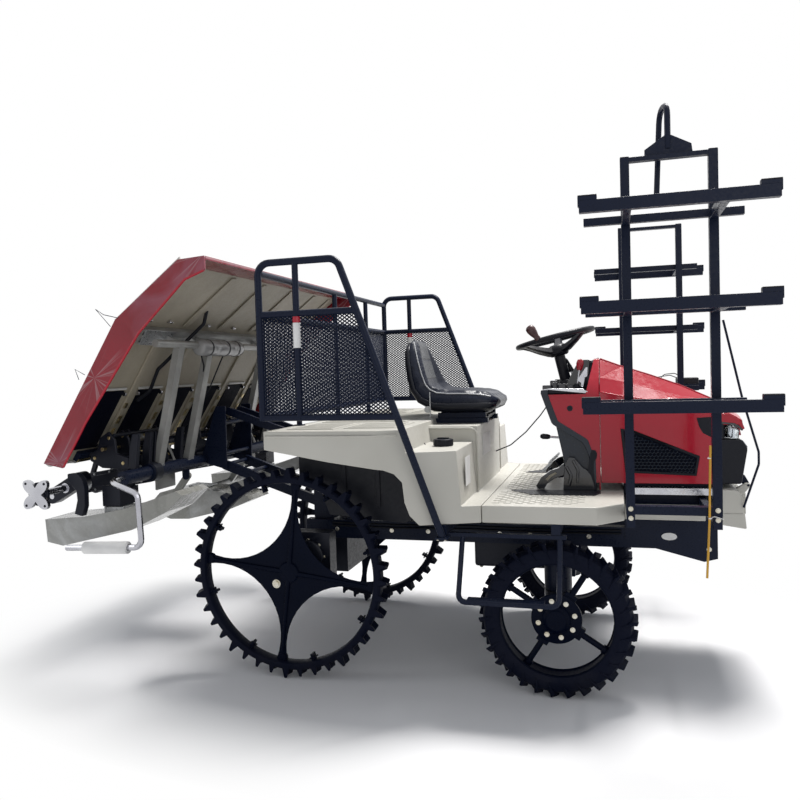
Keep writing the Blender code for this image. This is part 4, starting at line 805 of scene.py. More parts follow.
# Along the seat: middle of its thickness (x, z), direction to the rider (x, z), half width, thickness,
# height of the side rolls
SEAT_ROWS = ((0.487, 1.518, 0.6, 0.8, 0.08, 0.016, 0.0), (0.478, 1.502, 0.9, 0.43, 0.125, 0.04, 0.003),
        (0.48, 1.46, 0.97, 0.24, 0.156, 0.054, 0.01), (0.49, 1.4, 0.98, 0.2, 0.184, 0.06, 0.016),
        (0.504, 1.335, 0.98, 0.22, 0.206, 0.064, 0.02), (0.52, 1.28, 0.93, 0.36, 0.218, 0.068, 0.022),
        (0.552, 1.24, 0.72, 0.69, 0.222, 0.074, 0.02), (0.605, 1.214, 0.24, 0.97, 0.222, 0.078, 0.018),
        (0.67, 1.21, 0.0, 1.0, 0.222, 0.08, 0.015), (0.75, 1.211, -0.04, 1.0, 0.221, 0.082, 0.012),
        (0.82, 1.211, 0.0, 1.0, 0.214, 0.082, 0.007), (0.868, 1.209, 0.1, 0.99, 0.196, 0.074, 0.002),
        (0.896, 1.206, 0.3, 0.95, 0.166, 0.052, 0.0), (0.91, 1.203, 0.5, 0.87, 0.118, 0.022, 0.0))


def seat_ring(x, z, nx, nz, half, thick, roll):
    face = [(-0.985, 0.2, 0.4), (-0.93, 0.42, 0.85), (-0.84, 0.5, 1.0), (-0.7, 0.47, 0.62),
            (-0.5, 0.42, 0.05), (-0.25, 0.42, -0.2), (0.0, 0.42, -0.25)]
    back = [(-1.0, -0.05, 0.0), (-0.97, -0.35, 0.0), (-0.8, -0.5, 0.0), (-0.4, -0.5, 0.0), (0.0, -0.5, 0.0)]
    length = math.hypot(nx, nz)
    row = []
    for across, depth, lift in face + [(-a, d, l) for a, d, l in reversed(face[:-1])] + \
            [(-a, d, l) for a, d, l in back] + [(a, d, l) for a, d, l in reversed(back[:-1])]:
        out = depth * thick + lift * roll
        row.append((x + nx / length * out, across * half, z + nz / length * out))
    return row


PUFF_FRAMES = 20


def puffed(piece, voxel=0.006, pressure=4.0, cap=0.008):
    """Swells a closed pad with Cloth, holds back what moved too far, and keeps the result."""
    mesh = piece.data
    remesh = piece.modifiers.new("even", "REMESH")
    remesh.mode = "VOXEL"
    remesh.voxel_size = voxel
    graph = bpy.context.evaluated_depsgraph_get()
    even = bpy.data.meshes.new_from_object(piece.evaluated_get(graph))
    piece.modifiers.clear()
    piece.data = even
    before = [vert.co.copy() for vert in even.vertices]
    cloth = piece.modifiers.new("cloth", "CLOTH")
    cloth.settings.use_pressure = True
    cloth.settings.uniform_pressure_force = pressure
    cloth.settings.quality = 4
    for kind in ("tension", "compression", "shear", "bending"):
        setattr(cloth.settings, kind + "_stiffness", 4.0)
    cloth.settings.effector_weights.gravity = 0.0
    cloth.collision_settings.use_collision = False
    scene = bpy.context.scene
    for frame_number in range(1, PUFF_FRAMES + 1):
        scene.frame_set(frame_number)
    graph = bpy.context.evaluated_depsgraph_get()
    full = bpy.data.meshes.new_from_object(piece.evaluated_get(graph))
    piece.modifiers.clear()
    for vert, start in zip(full.vertices, before):
        move = vert.co - start
        if move.length > cap:
            vert.co = start + move * (cap / move.length)
    scene.frame_set(1)
    for material in mesh.materials:
        full.materials.append(material)
    full.shade_smooth()
    piece.data = full
    even_out = piece.modifiers.new("even_out", "SMOOTH")
    even_out.factor = 0.5
    even_out.iterations = 6
    soft = piece.modifiers.new("soft", "SUBSURF")
    soft.levels = 1
    soft.render_levels = 1


def on_pad(pad, point, lift):
    """The padded surface's nearest point, lifted off it."""
    origin = Vector((REAR_AXLE_X, 0, 0))
    found, where, normal, face = pad.closest_point_on_mesh(Vector(point) + origin)
    return where + normal * lift - origin


def seat():
    rings = [seat_ring(*row) for row in SEAT_ROWS]
    bm = bmesh.new()
    skin(bm, rings, closed=True)
    bmesh.ops.holes_fill(bm, edges=[e for e in bm.edges if e.is_boundary], sides=0)
    pad = finish_piece("seat_pad", bm, SEAT_VINYL, "chassis", ("seat",), smooth=180.0)
    puffed(pad)
    bpy.context.view_layer.update()
    bm = bmesh.new()
    # Piping along the pad's edges, light grey as a painted highlight
    for index in (1, 11):
        pipe(bm, [on_pad(pad, ring[index], 0.001) for ring in rings[1:12]], 0.003, sides=6)
    finish_piece("seat_piping_painted_highlight", bm, SEAT_PIPING_HIGHLIGHT, smooth=60.0)
    # Two panels let into the backrest and one into the seat, with dark channels between
    bm = bmesh.new()
    for first, last in ((1.15, 2.75), (2.95, 4.35), (6.8, 9.2)):
        rows = []
        for step in range(7):
            share = first + (last - first) * step / 6
            low = int(share)
            rows.append([on_pad(pad, Vector(rings[low][index]).lerp(Vector(rings[low + 1][index]),
                    share - low), 0.0022) for index in (4, 5, 6, 7, 8)])
        skin(bm, rows)
    finish_piece("seat_inserts", bm, SEAT_INSERT, smooth=60.0, wall=0.003, bevel=0.0012)
    # Moulded pan behind and under the pad
    bm = bmesh.new()
    rows = []
    for x, z, nx, nz, half, thick, roll in SEAT_ROWS[1:-1]:
        length = math.hypot(nx, nz)
        depth = -thick * 0.5 - 0.006
        rows.append([(x + nx / length * out, across * half * 1.01, z + nz / length * out) for across,
                out in ((-1.0, -thick * 0.05), (-0.99, depth * 0.6), (-0.85, depth * 0.95), (-0.5, depth),
                (0.0, depth), (0.5, depth), (0.85, depth * 0.95), (0.99, depth * 0.6),
                (1.0, -thick * 0.05))])
    skin(bm, rows)
    finish_piece("seat_pan", bm, BLACK_PLASTIC, smooth=60.0, wall=0.004)
    dressed("seat_mount", BLACK_PAINT, 0.003)
    bm = bmesh.new()
    for fold in range(4):
        z = 1.124 + fold * 0.0115
        slab(bm, [(x * (1.0 if fold % 2 else 0.9) + 0.725, y * (1.0 if fold % 2 else 0.92)) for x,
                y in ((-0.11, -0.118), (0.11, -0.118), (0.12, -0.108), (0.12, 0.108), (0.11, 0.118),
                (-0.11, 0.118))], z, z + 0.0105, PLAN)
    finish_piece("seat_bellows", bm, BLACK_PLASTIC, bevel=0.004)
    # Slide rails and the tilt pin's plate
    bm = bmesh.new()
    for y in (-0.145, 0.145):
        block(bm, (0.6, y - 0.016, 1.1105), (0.85, y + 0.016, 1.134))
        block(bm, (0.61, y - 0.01, 1.134), (0.84, y + 0.01, 1.16))
    finish_piece("seat_slides", bm, BLACK_PAINT, bevel=0.0015)
    bm = bmesh.new()
    for side in (-1, 1):
        bar(bm, (0.592, side * 0.236, 1.148), (0.592, side * 0.236, 1.262), 0.0032, 8)
        lathe(bm, [(-0.004, 0.0), (-0.004, 0.016), (0.004, 0.016), (0.004, 0.0)],
                (0.578, side * 0.226, 1.18), (0, 1, 0), 20)
    finish_piece("seat_pins", bm, GREY_STEEL, bevel=0.0012)


# Hood with its lamps and grilles

def hood():
    piece = dressed("hood", RED_GLOSS, 0.002)
    piece.data.set_sharp_from_angle(angle=math.radians(13.0))
    piece.modifiers["edges"].angle_limit = math.radians(22.0)
    grille = [(1.4445, 1.0865), (1.4615, 0.8965), (1.7485, 0.8845), (1.7625, 0.9675), (1.498, 1.0785)]
    inner = [(1.456, 1.078), (1.471, 0.905), (1.741, 0.893), (1.752, 0.961), (1.497, 1.068)]
    shade_sheets, frames, cells = bmesh.new(), bmesh.new(), bmesh.new()
    trims = bmesh.new()
    for side in (-1, 1):
        # A near-black sheet at the floor of the grille's pocket stands in for the shaded hollow behind the
        # mesh: painted shade
        slab(shade_sheets, grille, side * 0.2652, side * 0.2664)
        for first, second, third, fourth in zip(grille, grille[1:] + grille[:1], inner[1:] + inner[:1],
                inner):
            slab(frames, [first, second, third, fourth], side * 0.2664, side * 0.2706)
        hex_mesh(cells, inner, SIDE, side * 0.2676)
        # Black corner panel behind the lamp, and the lip under the brow
        slab(trims, [(1.752, 1.13), (1.762, 1.092), (1.776, 1.066), (1.812, 1.046), (1.8445, 1.041),
                (1.8558, 1.041), (1.8558, 1.118), (1.822, 1.134)], side * 0.27, side * 0.2712)
    finish_piece("grille_shade_back", shade_sheets, BELT_RUBBER, "hood")
    finish_piece("grille_frame", frames, BLACK_PLASTIC, "hood", bevel=0.0008)
    finish_piece("grille_cells", cells, SLATE, "hood")
    finish_piece("hood_corner_panel", trims, BLACK_PLASTIC, "hood", bevel=0.0004)
    # Rolled beads along both creases and both ridges catch the light
    bm = bmesh.new()
    for side in (-1, 1):
        pipe(bm, [(1.362, side * 0.2628, 1.2465), (1.455, side * 0.2628, 1.2265),
                (1.57, side * 0.2628, 1.2085), (1.695, side * 0.2628, 1.1945),
                (1.836, side * 0.2625, 1.1765)], 0.003, sides=8)
        pipe(bm, [(1.362, side * 0.137, 1.3925), (1.455, side * 0.137, 1.3555),
                (1.57, side * 0.137, 1.3155), (1.695, side * 0.137, 1.2675),
                (1.836, side * 0.137, 1.2005)], 0.0034, sides=8)
    finish_piece("hood_beads", bm, RED_GLOSS, "hood", smooth=60.0)
    # Red brow over the lamps, with a black lip under it
    bm, lips = bmesh.new(), bmesh.new()
    for side in (-1, 1):
        near, far = sorted((side * 0.088, side * 0.2722))
        slab(bm, [(1.808, 1.12), (1.808, 1.134), (1.85, 1.147), (1.882, 1.148), (1.91, 1.132),
                (1.928, 1.11), (1.939, 1.083), (1.931, 1.079), (1.917, 1.097), (1.896, 1.107),
                (1.85, 1.111)], near, far)
        slab(lips, [(1.812, 1.112), (1.812, 1.122), (1.852, 1.112), (1.898, 1.106), (1.919, 1.095),
                (1.933, 1.078), (1.927, 1.074), (1.912, 1.089), (1.892, 1.099), (1.852, 1.104)], near, far)
    finish_piece("lamp_brow", bm, RED_GLOSS, "hood", bevel=0.0035, segments=3)
    finish_piece("lamp_brow_lip", lips, GLOSS_BLACK, "hood", bevel=0.001)
    for word, side in (("right", -1), ("left", 1)):
        lamp(word, side)
    front_box()
    nose()


def front_box():
    bm = bmesh.new()
    slab(bm, [(1.8455, 0.8505), (1.8455, 1.039), (1.918, 1.039), (1.932, 1.03), (1.9495, 1.003),
            (1.948, 0.988), (1.927, 0.862), (1.924, 0.8505)], -0.269, 0.269)
    finish_piece("front_box", bm, BLACK_PLASTIC, "hood", ("hood_front_box",), bevel=0.007, segments=3)
    bm = bmesh.new()
    slab(bm, [(1.86, 1.0385), (1.917, 1.0393), (1.931, 1.0303), (1.949, 1.004), (1.9496, 1.007),
            (1.933, 1.032), (1.918, 1.04), (1.86, 1.0395)], -0.26, 0.26)
    finish_piece("front_box_lid", bm, PALE_SLATE, "hood", bevel=0.0004, segments=1)
    bm = bmesh.new()
    for side in (-1, 1):
        slab(bm, [(1.915, 0.862), (1.915, 0.88), (1.948, 0.878), (1.968, 0.84), (1.962, 0.829),
                (1.95, 0.829)], *sides(side, 0.169, 0.191))
        bar(bm, (1.958, side * 0.165, 0.838), (1.958, side * 0.219, 0.838), 0.005, 12)
    pipe(bm, [(1.93, -0.06, 0.932), (1.952, -0.06, 0.936), (1.952, 0.06, 0.936), (1.93, 0.06, 0.932)],
            0.006, 0.012, 10)
    finish_piece("front_box_hinges", bm, BLACK_PAINT, "hood", bevel=0.002)


def nose():
    bm = bmesh.new()
    slab(bm, [(1.8357, 0.73), (1.8357, 0.831), (1.894, 0.831), (1.911, 0.825), (1.921, 0.802),
            (1.929, 0.73)], -0.2965, 0.2965)
    slab(bm, [(1.8357, 0.684), (1.8357, 0.733), (1.9315, 0.733), (1.9375, 0.67), (1.933, 0.6685)], -0.2995,
            0.2995)
    block(bm, (1.9, -0.15, 0.702), (1.9575, 0.15, 0.798))
    for side in (-1, 1):
        slab(bm, [(1.91, 0.795), (1.91, 0.825), (1.95, 0.848), (1.966, 0.846), (1.967, 0.834),
                (1.94, 0.8)], *sides(side, 0.193, 0.215))
    finish_piece("nose_moulding", bm, IVORY, "chassis", ("nose_panel",), bevel=0.01, segments=3)
    bm = bmesh.new()
    for slot in range(5):
        z = 0.718 + slot * 0.0165
        block(bm, (1.956, -0.12, z - 0.004), (1.9582, 0.12, z + 0.004))
    finish_piece("nose_slots", bm, BLACK_PLASTIC, bevel=0.0008, segments=1)


def lamp(word, side):
    node = "headlamp_" + word
    bm = bmesh.new()
    near, far = sorted((side * 0.1015, side * 0.268))
    block(bm, (1.857, near, 1.0402), (1.86, far, 1.0985))
    for z in (1.0425, 1.0965):
        block(bm, (1.86, near, z - 0.0012), (1.886, far, z + 0.0012))
    block(bm, (1.86, side * 0.177 - 0.0012, 1.0425), (1.885, side * 0.177 + 0.0012, 1.0965))
    finish_piece(node + "_case", bm, DARK_CASE, "hood", bevel=0.0005)
    bm = bmesh.new()
    for y in (0.138, 0.216):
        lathe(bm, [(0.0, 0.008), (0.004, 0.014), (0.012, 0.021), (0.024, 0.0255), (0.025, 0.0268),
                (0.022, 0.0268), (0.0, 0.01)], (1.8605, side * y, 1.0695), (1, 0, 0), 28)
        lathe(bm, [(0.0, 0.0), (0.0, 0.006), (0.012, 0.006), (0.015, 0.004), (0.016, 0.0)],
                (1.8605, side * y, 1.0695), (1, 0, 0), 14)
    # Stepped facets that face the lamp's outer side
    for step in range(5):
        x = 1.862 + step * 0.0085
        slab(bm, [(x, 1.044), (x, 1.094 - step * 0.003), (x + 0.007, 1.09 - step * 0.003),
                (x + 0.007, 1.044)], side * (0.25 - step * 0.002), side * (0.256 - (step % 2) * 0.003))
    finish_piece(node + "_reflector", bm, BRIGHT, "hood", smooth=60.0, bevel=0.0008)
    bm = bmesh.new()
    outline = [(1.86, 1.098), (1.895, 1.098), (1.9165, 1.0755), (1.9125, 1.041), (1.86, 1.041)]
    ends = skin(bm, [[(x, side * y, z) for x, z in outline] for y in (0.2695, 0.1015)])
    bm.faces.new(ends[:5])
    finish_piece(node + "_lens", bm, CLEAR_LENS, "hood", (node,), wall=0.0025)
    bm = bmesh.new()
    pipe(bm, [(1.86, side * 0.2697, 1.041), (1.9125, side * 0.2697, 1.041),
            (1.9165, side * 0.2697, 1.0755), (1.895, side * 0.2697, 1.098)], 0.0022, sides=6)
    finish_piece(node + "_rim", bm, GLOSS_BLACK, "hood", smooth=60.0)


def cowl():
    piece = dressed("cowl", RED_GLOSS, 0.0015)
    piece.data.set_sharp_from_angle(angle=math.radians(20.0))
    dressed("cowl_base", SLATE, 0.006, 3)
    dressed("dash", BLACK_PLASTIC, 0.006, 3)
    edge, keys, plates = bmesh.new(), bmesh.new(), bmesh.new()
    for side in (-1, 1):
        slab(edge, [(1.14, 1.261), (1.108, 1.261), (1.106, 1.246), (1.15, 1.116), (1.158, 1.106),
                (1.281, 1.027), (1.29, 1.015), (1.32, 0.94), (1.326, 0.8165), (1.34, 0.8165),
                (1.3385, 0.95), (1.308, 1.036), (1.3, 1.045), (1.18, 1.123), (1.138, 1.242)], side * 0.25,
                side * 0.2722)
        lathe(keys, [(0.0, 0.0), (0.0, 0.011), (0.0012, 0.0125), (0.0022, 0.011), (0.0022, 0.006),
                (0.0004, 0.004), (0.0004, 0.0)], (1.232, side * 0.27, 1.178), (0, side, 0), 22)
        # Hand-shaped tab of the foot moulding
        slab(plates, [(1.3, 0.816), (1.302, 0.9), (1.312, 0.95), (1.315, 0.98), (1.324, 0.995),
                (1.337, 0.993), (1.344, 0.98), (1.342, 0.96), (1.33, 0.94), (1.328, 0.9), (1.34, 0.816)],
                side * 0.2702, side * 0.273)
    finish_piece("cowl_edge", edge, SLATE, bevel=0.004, segments=3)
    finish_piece("cowl_key_plugs", keys, DARK_CASE)
    finish_piece("cowl_tabs", plates, BLACK_PLASTIC, bevel=0.001)
    # Instrument panel in the cowl's mouth, with two dials and a bright bezel
    bm = bmesh.new()
    skin(bm, [[(1.287, -0.196, 1.264), (1.296, -0.15, 1.32), (1.314, -0.118, 1.372), (1.318, -0.06, 1.384),
            (1.318, 0.06, 1.384), (1.314, 0.118, 1.372), (1.296, 0.15, 1.32), (1.287, 0.196, 1.264)],
            [(1.328, -0.206, 1.264), (1.34, -0.164, 1.326), (1.35, -0.128, 1.385), (1.352, -0.06, 1.3985),
            (1.352, 0.06, 1.3985), (1.35, 0.128, 1.385), (1.34, 0.164, 1.326), (1.328, 0.206, 1.264)]])
    finish_piece("instrument_shade", bm, BLACK_PLASTIC, smooth=60.0, wall=0.003)
    bm = bmesh.new()
    tilt = Vector((-0.96, 0.0, 0.28)).normalized()
    slab(bm, [(1.296, 1.264), (1.325, 1.378), (1.33, 1.378), (1.302, 1.264)], -0.15, 0.15)
    finish_piece("instrument_panel", bm, DARK_CASE, bevel=0.001)
    bm = bmesh.new()
    for y, radius in ((-0.06, 0.032), (0.03, 0.026), (0.092, 0.018)):
        lathe(bm, [(0.0, radius), (0.006, radius), (0.007, radius - 0.003), (0.003, radius - 0.005)],
                (1.308, y, 1.318), tilt, 32)
    finish_piece("instrument_bezels", bm, BRIGHT, smooth=60.0)
    bm = bmesh.new()
    for y, radius in ((-0.06, 0.028), (0.03, 0.022), (0.092, 0.014)):
        lathe(bm, [(0.0028, 0.0), (0.0028, radius)], (1.308, y, 1.318), tilt, 32)
    finish_piece("instrument_faces", bm, DIAL_FACE)
    # Glossy cheeks of the instrument housing, a bright steel wedge at their front edge that stands in for a
    # reflection on the glossy housing (a painted reflection), switches on the dash
    cheeks, trims, switches = bmesh.new(), bmesh.new(), bmesh.new()
    for side in (-1, 1):
        slab(cheeks, [(1.206, 1.263), (1.22, 1.29), (1.236, 1.33), (1.256, 1.364), (1.286, 1.39),
                (1.316, 1.39), (1.316, 1.34), (1.296, 1.263)], side * 0.134, side * 0.154)
        # Bright wedge in place of a reflection on the housing: a painted reflection
        slab(trims, [(1.26, 1.298), (1.286, 1.336), (1.299, 1.356), (1.308, 1.356), (1.306, 1.32),
                (1.296, 1.286), (1.284, 1.264), (1.276, 1.264), (1.278, 1.286)], side * 0.1545,
                side * 0.157)
        for x0, x1, y0, y1, z in ((1.112, 1.15, 0.195, 0.24, 1.281), (1.156, 1.176, 0.19, 0.236, 1.294),
                (1.182, 1.214, 0.2, 0.238, 1.286), (1.22, 1.246, 0.206, 0.24, 1.277),
                (1.14, 1.17, 0.12, 0.165, 1.3)):
            near, far = sorted((side * y0, side * y1))
            block(switches, (x0, near, 1.26), (x1, far, z))
    block(cheeks, (1.286, -0.14, 1.383), (1.316, 0.14, 1.39))
    finish_piece("instrument_cheeks", cheeks, GLOSS_BLACK, bevel=0.007, segments=3)
    finish_piece("instrument_reflection_wedge", trims, BRIGHT, bevel=0.0009)
    finish_piece("dash_switches", switches, GLOSS_BLACK, bevel=0.004)
    # Silver trim along the dash, levers and their gates
    bm = bmesh.new()
    for side in (-1, 1):
        pipe(bm, [(1.118, side * 0.25, 1.26), (1.15, side * 0.256, 1.264), (1.29, side * 0.256, 1.259)],
                0.0045, 0.01, 8)
        slab(bm, [(1.134, 1.262), (1.29, 1.26), (1.31, 1.25), (1.31, 1.244), (1.294, 1.244),
                (1.134, 1.2625)], *sides(side, 0.206, 0.26))
    finish_piece("dash_trim", bm, BRIGHT, smooth=50.0)
    bm = bmesh.new()
    pipe(bm, [(1.258, -0.15, 1.26), (1.266, -0.15, 1.31), (1.274, -0.15, 1.362)], 0.006, 0.02, 10)
    pipe(bm, [(1.195, -0.125, 1.035), (1.15, -0.128, 1.038), (1.125, -0.13, 1.041)], 0.005, 0.02, 10)
    pipe(bm, [(1.246, 0.16, 1.26), (1.23, 0.165, 1.31), (1.215, 0.168, 1.34)], 0.005, 0.02, 10)
    finish_piece("lever_rods", bm, BRIGHT, smooth=60.0)
    bm = bmesh.new()
    lathe(bm, [(0.0, 0.0), (0.0, 0.011), (0.012, 0.015), (0.032, 0.017), (0.046, 0.013), (0.052, 0.0)],
            (1.27, -0.15, 1.344), (0.16, 0, 1), 18)
    finish_piece("red_lever_knob", bm, RED_GLOSS, smooth=60.0)
    bm = bmesh.new()
    lathe(bm, [(0.0, 0.0), (0.0, 0.008), (0.012, 0.012), (0.034, 0.013), (0.044, 0.008), (0.047, 0.0)],
            (1.133, -0.1295, 1.04), (-1, -0.03, 0.07), 16)
    lathe(bm, [(0.0, 0.0), (0.0, 0.008), (0.012, 0.013), (0.03, 0.014), (0.04, 0.009), (0.043, 0.0)],
            (1.218, 0.167, 1.335), (-0.4, 0.1, 1), 16)
    for x, y in ((1.258, -0.15), (1.246, 0.16)):
        lathe(bm, [(0.0, 0.026), (0.006, 0.026), (0.01, 0.02), (0.012, 0.014), (0.022, 0.01),
                (0.024, 0.0)], (x, y, 1.262), (0, 0, 1), 20)
    for x, y, size in ((1.165, -0.205, 0.01), (1.19, -0.205, 0.01), (1.165, 0.205, 0.012),
            (1.205, 0.205, 0.008)):
        lathe(bm, [(0.0, size), (0.006, size), (0.01, size * 0.8), (0.012, 0.0)], (x, y, 1.262), (0, 0, 1),
                16)
    finish_piece("lever_knobs", bm, BLACK_PLASTIC, smooth=50.0)
    # Glossy boot over the foot of the cowl, a pedal in front of it, and the seal between cowl and hood
    bm, treads = bmesh.new(), bmesh.new()
    for side in (-1, 1):
        slab(bm, [(1.196, 0.817), (1.2, 0.88), (1.206, 0.93), (1.222, 0.962), (1.246, 0.96),
                (1.266, 0.935), (1.282, 0.915), (1.3, 0.905), (1.318, 0.88), (1.328, 0.845),
                (1.33, 0.817)], *sides(side, 0.248, 0.274))
        slab(bm, [(1.082, 0.818), (1.076, 0.832), (1.098, 0.868), (1.14, 0.9), (1.176, 0.912),
                (1.196, 0.93), (1.206, 0.918), (1.2, 0.88), (1.16, 0.866), (1.126, 0.842), (1.112, 0.818)],
                *sides(side, 0.22, 0.26))
        slab(treads, [(1.118, 0.862), (1.14, 0.884), (1.164, 0.894), (1.17, 0.888), (1.146, 0.874),
                (1.128, 0.856)], side * 0.2602, side * 0.264)
        pipe(bm, [(1.24, side * 0.274, 0.95), (1.262, side * 0.276, 0.905), (1.258, side * 0.276, 0.85)],
                0.007, 0.02, 8)
        pipe(bm, [(1.212, side * 0.274, 0.92), (1.232, side * 0.276, 0.88), (1.222, side * 0.276, 0.836)],
                0.008, 0.02, 8)
    finish_piece("pedal_treads", treads, BEIGE_SHEET, bevel=0.001)
    finish_piece("foot_boot", bm, GLOSS_BLACK, smooth=60.0, bevel=0.008, segments=3)
    bm = bmesh.new()
    pipe(bm, [(1.3545, -0.2668, 0.82), (1.3545, -0.2668, 1.214), (1.3545, -0.209, 1.307),
            (1.3545, -0.1376, 1.389), (1.3545, -0.09, 1.391), (1.3545, 0.09, 1.391),
            (1.3545, 0.1376, 1.389), (1.3545, 0.209, 1.307), (1.3545, 0.2668, 1.214),
            (1.3545, 0.2668, 0.82)], 0.0036, 0.01, 6)
    finish_piece("hood_seal", bm, RED_GLOSS, smooth=60.0)
    # Cable that hangs from the seat pedestal to the underside of the dash
    bm = bmesh.new()
    pipe(bm, [(0.826, 0.2, 0.936), (0.905, 0.2, 0.968), (0.985, 0.2, 1.035), (1.06, 0.2, 1.12),
            (1.118, 0.2, 1.2)], 0.003, 0.06, 8)
    finish_piece("dash_cable", bm, BLACK_PLASTIC, smooth=60.0)
    # Pedals with ribbed pads in front of the foot moulding
    bars, pads = bmesh.new(), bmesh.new()
    for y, x in ((-0.165, 1.12), (0.12, 1.128), (0.19, 1.128)):
        pipe(bars, [(1.208, y, 0.868), (1.165, y, 0.862), (x + 0.01, y, 0.9)], 0.008, 0.02, 8)
        verts = block(pads, (-0.032, -0.034, 0.0), (0.032, 0.034, 0.007))
        for rib in range(5):
            verts += block(pads, (-0.028 + rib * 0.013, -0.031, 0.007),
                    (-0.023 + rib * 0.013, 0.031, 0.0095))
        turn = Matrix.Translation((x, y, 0.902)) @ Matrix.Rotation(math.radians(-42.0), 4, "Y")
        bmesh.ops.transform(pads, matrix=turn, verts=verts)
    finish_piece("pedal_arms", bars, BLACK_PAINT, smooth=60.0)
    finish_piece("pedal_pads", pads, GREY_STEEL, bevel=0.001)


def wheel_arm(bm, angle, edge, stations):
    """An arm of the steering wheel through stations of (reach, drop, half width, half thickness)."""
    rows = [[(reach, -width, drop - thick * edge), (reach, -width * 0.6, drop + thick),
            (reach, width * 0.6, drop + thick), (reach, width, drop - thick * edge),
            (reach, width * 0.6, drop - thick), (reach, -width * 0.6, drop - thick)]
            for reach, drop, width, thick in stations]
    bmesh.ops.transform(bm, matrix=Matrix.Rotation(angle, 4, "Z"), verts=skin(bm, rows, closed=True))


def steering():
    centre, axis = Vector((1.155, 0.0, 1.497)), Vector((-0.223, 0.0, 0.975)).normalized()
    turn = Matrix.Translation(centre) @ axis.to_track_quat("Z", "Y").to_matrix().to_4x4()
    bm = bmesh.new()
    ring = bmesh.ops.create_circle(bm, segments=14, radius=0.012,
            matrix=Matrix.Translation((0.178, 0, 0)) @ Matrix.Rotation(math.pi / 2, 4, "X"))
    verts = ring["verts"]
    edges = list({e for v in verts for e in v.link_edges})
    bmesh.ops.spin(bm, geom=verts + edges, cent=(0, 0, 0), axis=(0, 0, 1), angle=math.tau, steps=64,
            use_merge=True)
    for grip in range(72):
        angle = math.tau * grip / 72
        verts = bmesh.ops.create_cube(bm, size=1.0)["verts"]
        bmesh.ops.scale(bm, vec=(0.004, 0.007, 0.004), verts=verts)
        place = Matrix.Rotation(angle, 4, "Z") @ Matrix.Translation((0.168, 0, -0.005))
        bmesh.ops.transform(bm, matrix=place, verts=verts)
    lathe(bm, [(-0.0855, 0.0), (-0.0855, 0.036), (-0.08, 0.045), (-0.058, 0.05), (-0.04, 0.044),
            (-0.031, 0.03), (-0.028, 0.0)], (0, 0, 0), (0, 0, 1), 36)
    for arm in range(3):
        wheel_arm(bm, math.tau * arm / 3 - math.pi, 0.4,
                ((0.02, -0.06, 0.034, 0.02), (0.06, -0.052, 0.03, 0.016), (0.11, -0.03, 0.023, 0.012),
                (0.15, -0.009, 0.02, 0.008), (0.172, 0.0, 0.02, 0.007)))
    # The moulded arm towards the rider, thick at the boss
    wheel_arm(bm, -math.pi / 2, 0.3, ((-0.02, -0.066, 0.04, 0.018), (0.015, -0.066, 0.05, 0.021),
            (0.05, -0.058, 0.048, 0.021), (0.09, -0.04, 0.038, 0.017), (0.13, -0.018, 0.027, 0.012),
            (0.166, -0.003, 0.022, 0.008)))
    bmesh.ops.holes_fill(bm, edges=[e for e in bm.edges if e.is_boundary], sides=0)
    bmesh.ops.transform(bm, matrix=turn, verts=bm.verts)
    finish_piece("steering_wheel_rim", bm, BLACK_PLASTIC, "steering_wheel", ("steering_wheel",),
            smooth=50.0)
    # Spinner knob near the rim
    bm = bmesh.new()
    lathe(bm, [(0.004, 0.0), (0.004, 0.012), (0.012, 0.014), (0.024, 0.013), (0.04, 0.018), (0.06, 0.022),
            (0.074, 0.02), (0.082, 0.012), (0.084, 0.0)], (0.166, -0.06, 0.0), (0.1, -0.42, 1), 24)
    bmesh.ops.transform(bm, matrix=turn, verts=bm.verts)
    finish_piece("spinner_knob", bm, BROWN_KNOB, "steering_wheel", smooth=50.0)
    foot = centre - axis * ((centre.z - 1.292) / axis.z)
    top = centre - axis * 0.0866
    bm = bmesh.new()
    bar(bm, foot, top, 0.0255, 24)
    lathe(bm, [(0.0003, 0.05), (0.01, 0.05), (0.016, 0.046), (0.022, 0.034), (0.034, 0.032),
            (0.038, 0.028), (0.04, 0.02)], (foot.x, 0.0, 1.262), (0, 0, 1), 32)
    pipe(bm, [foot + Vector((0.036, 0, 0.0)), foot + Vector((0.034, 0, 0.05)),
            top + Vector((0.03, 0, -0.016)), top + Vector((0.012, 0, -0.012))], 0.006, 0.02, 8)
    finish_piece("steering_column_cover", bm, BLACK_PLASTIC, "chassis", ("steering_column",), smooth=50.0)


# Floor and rear body

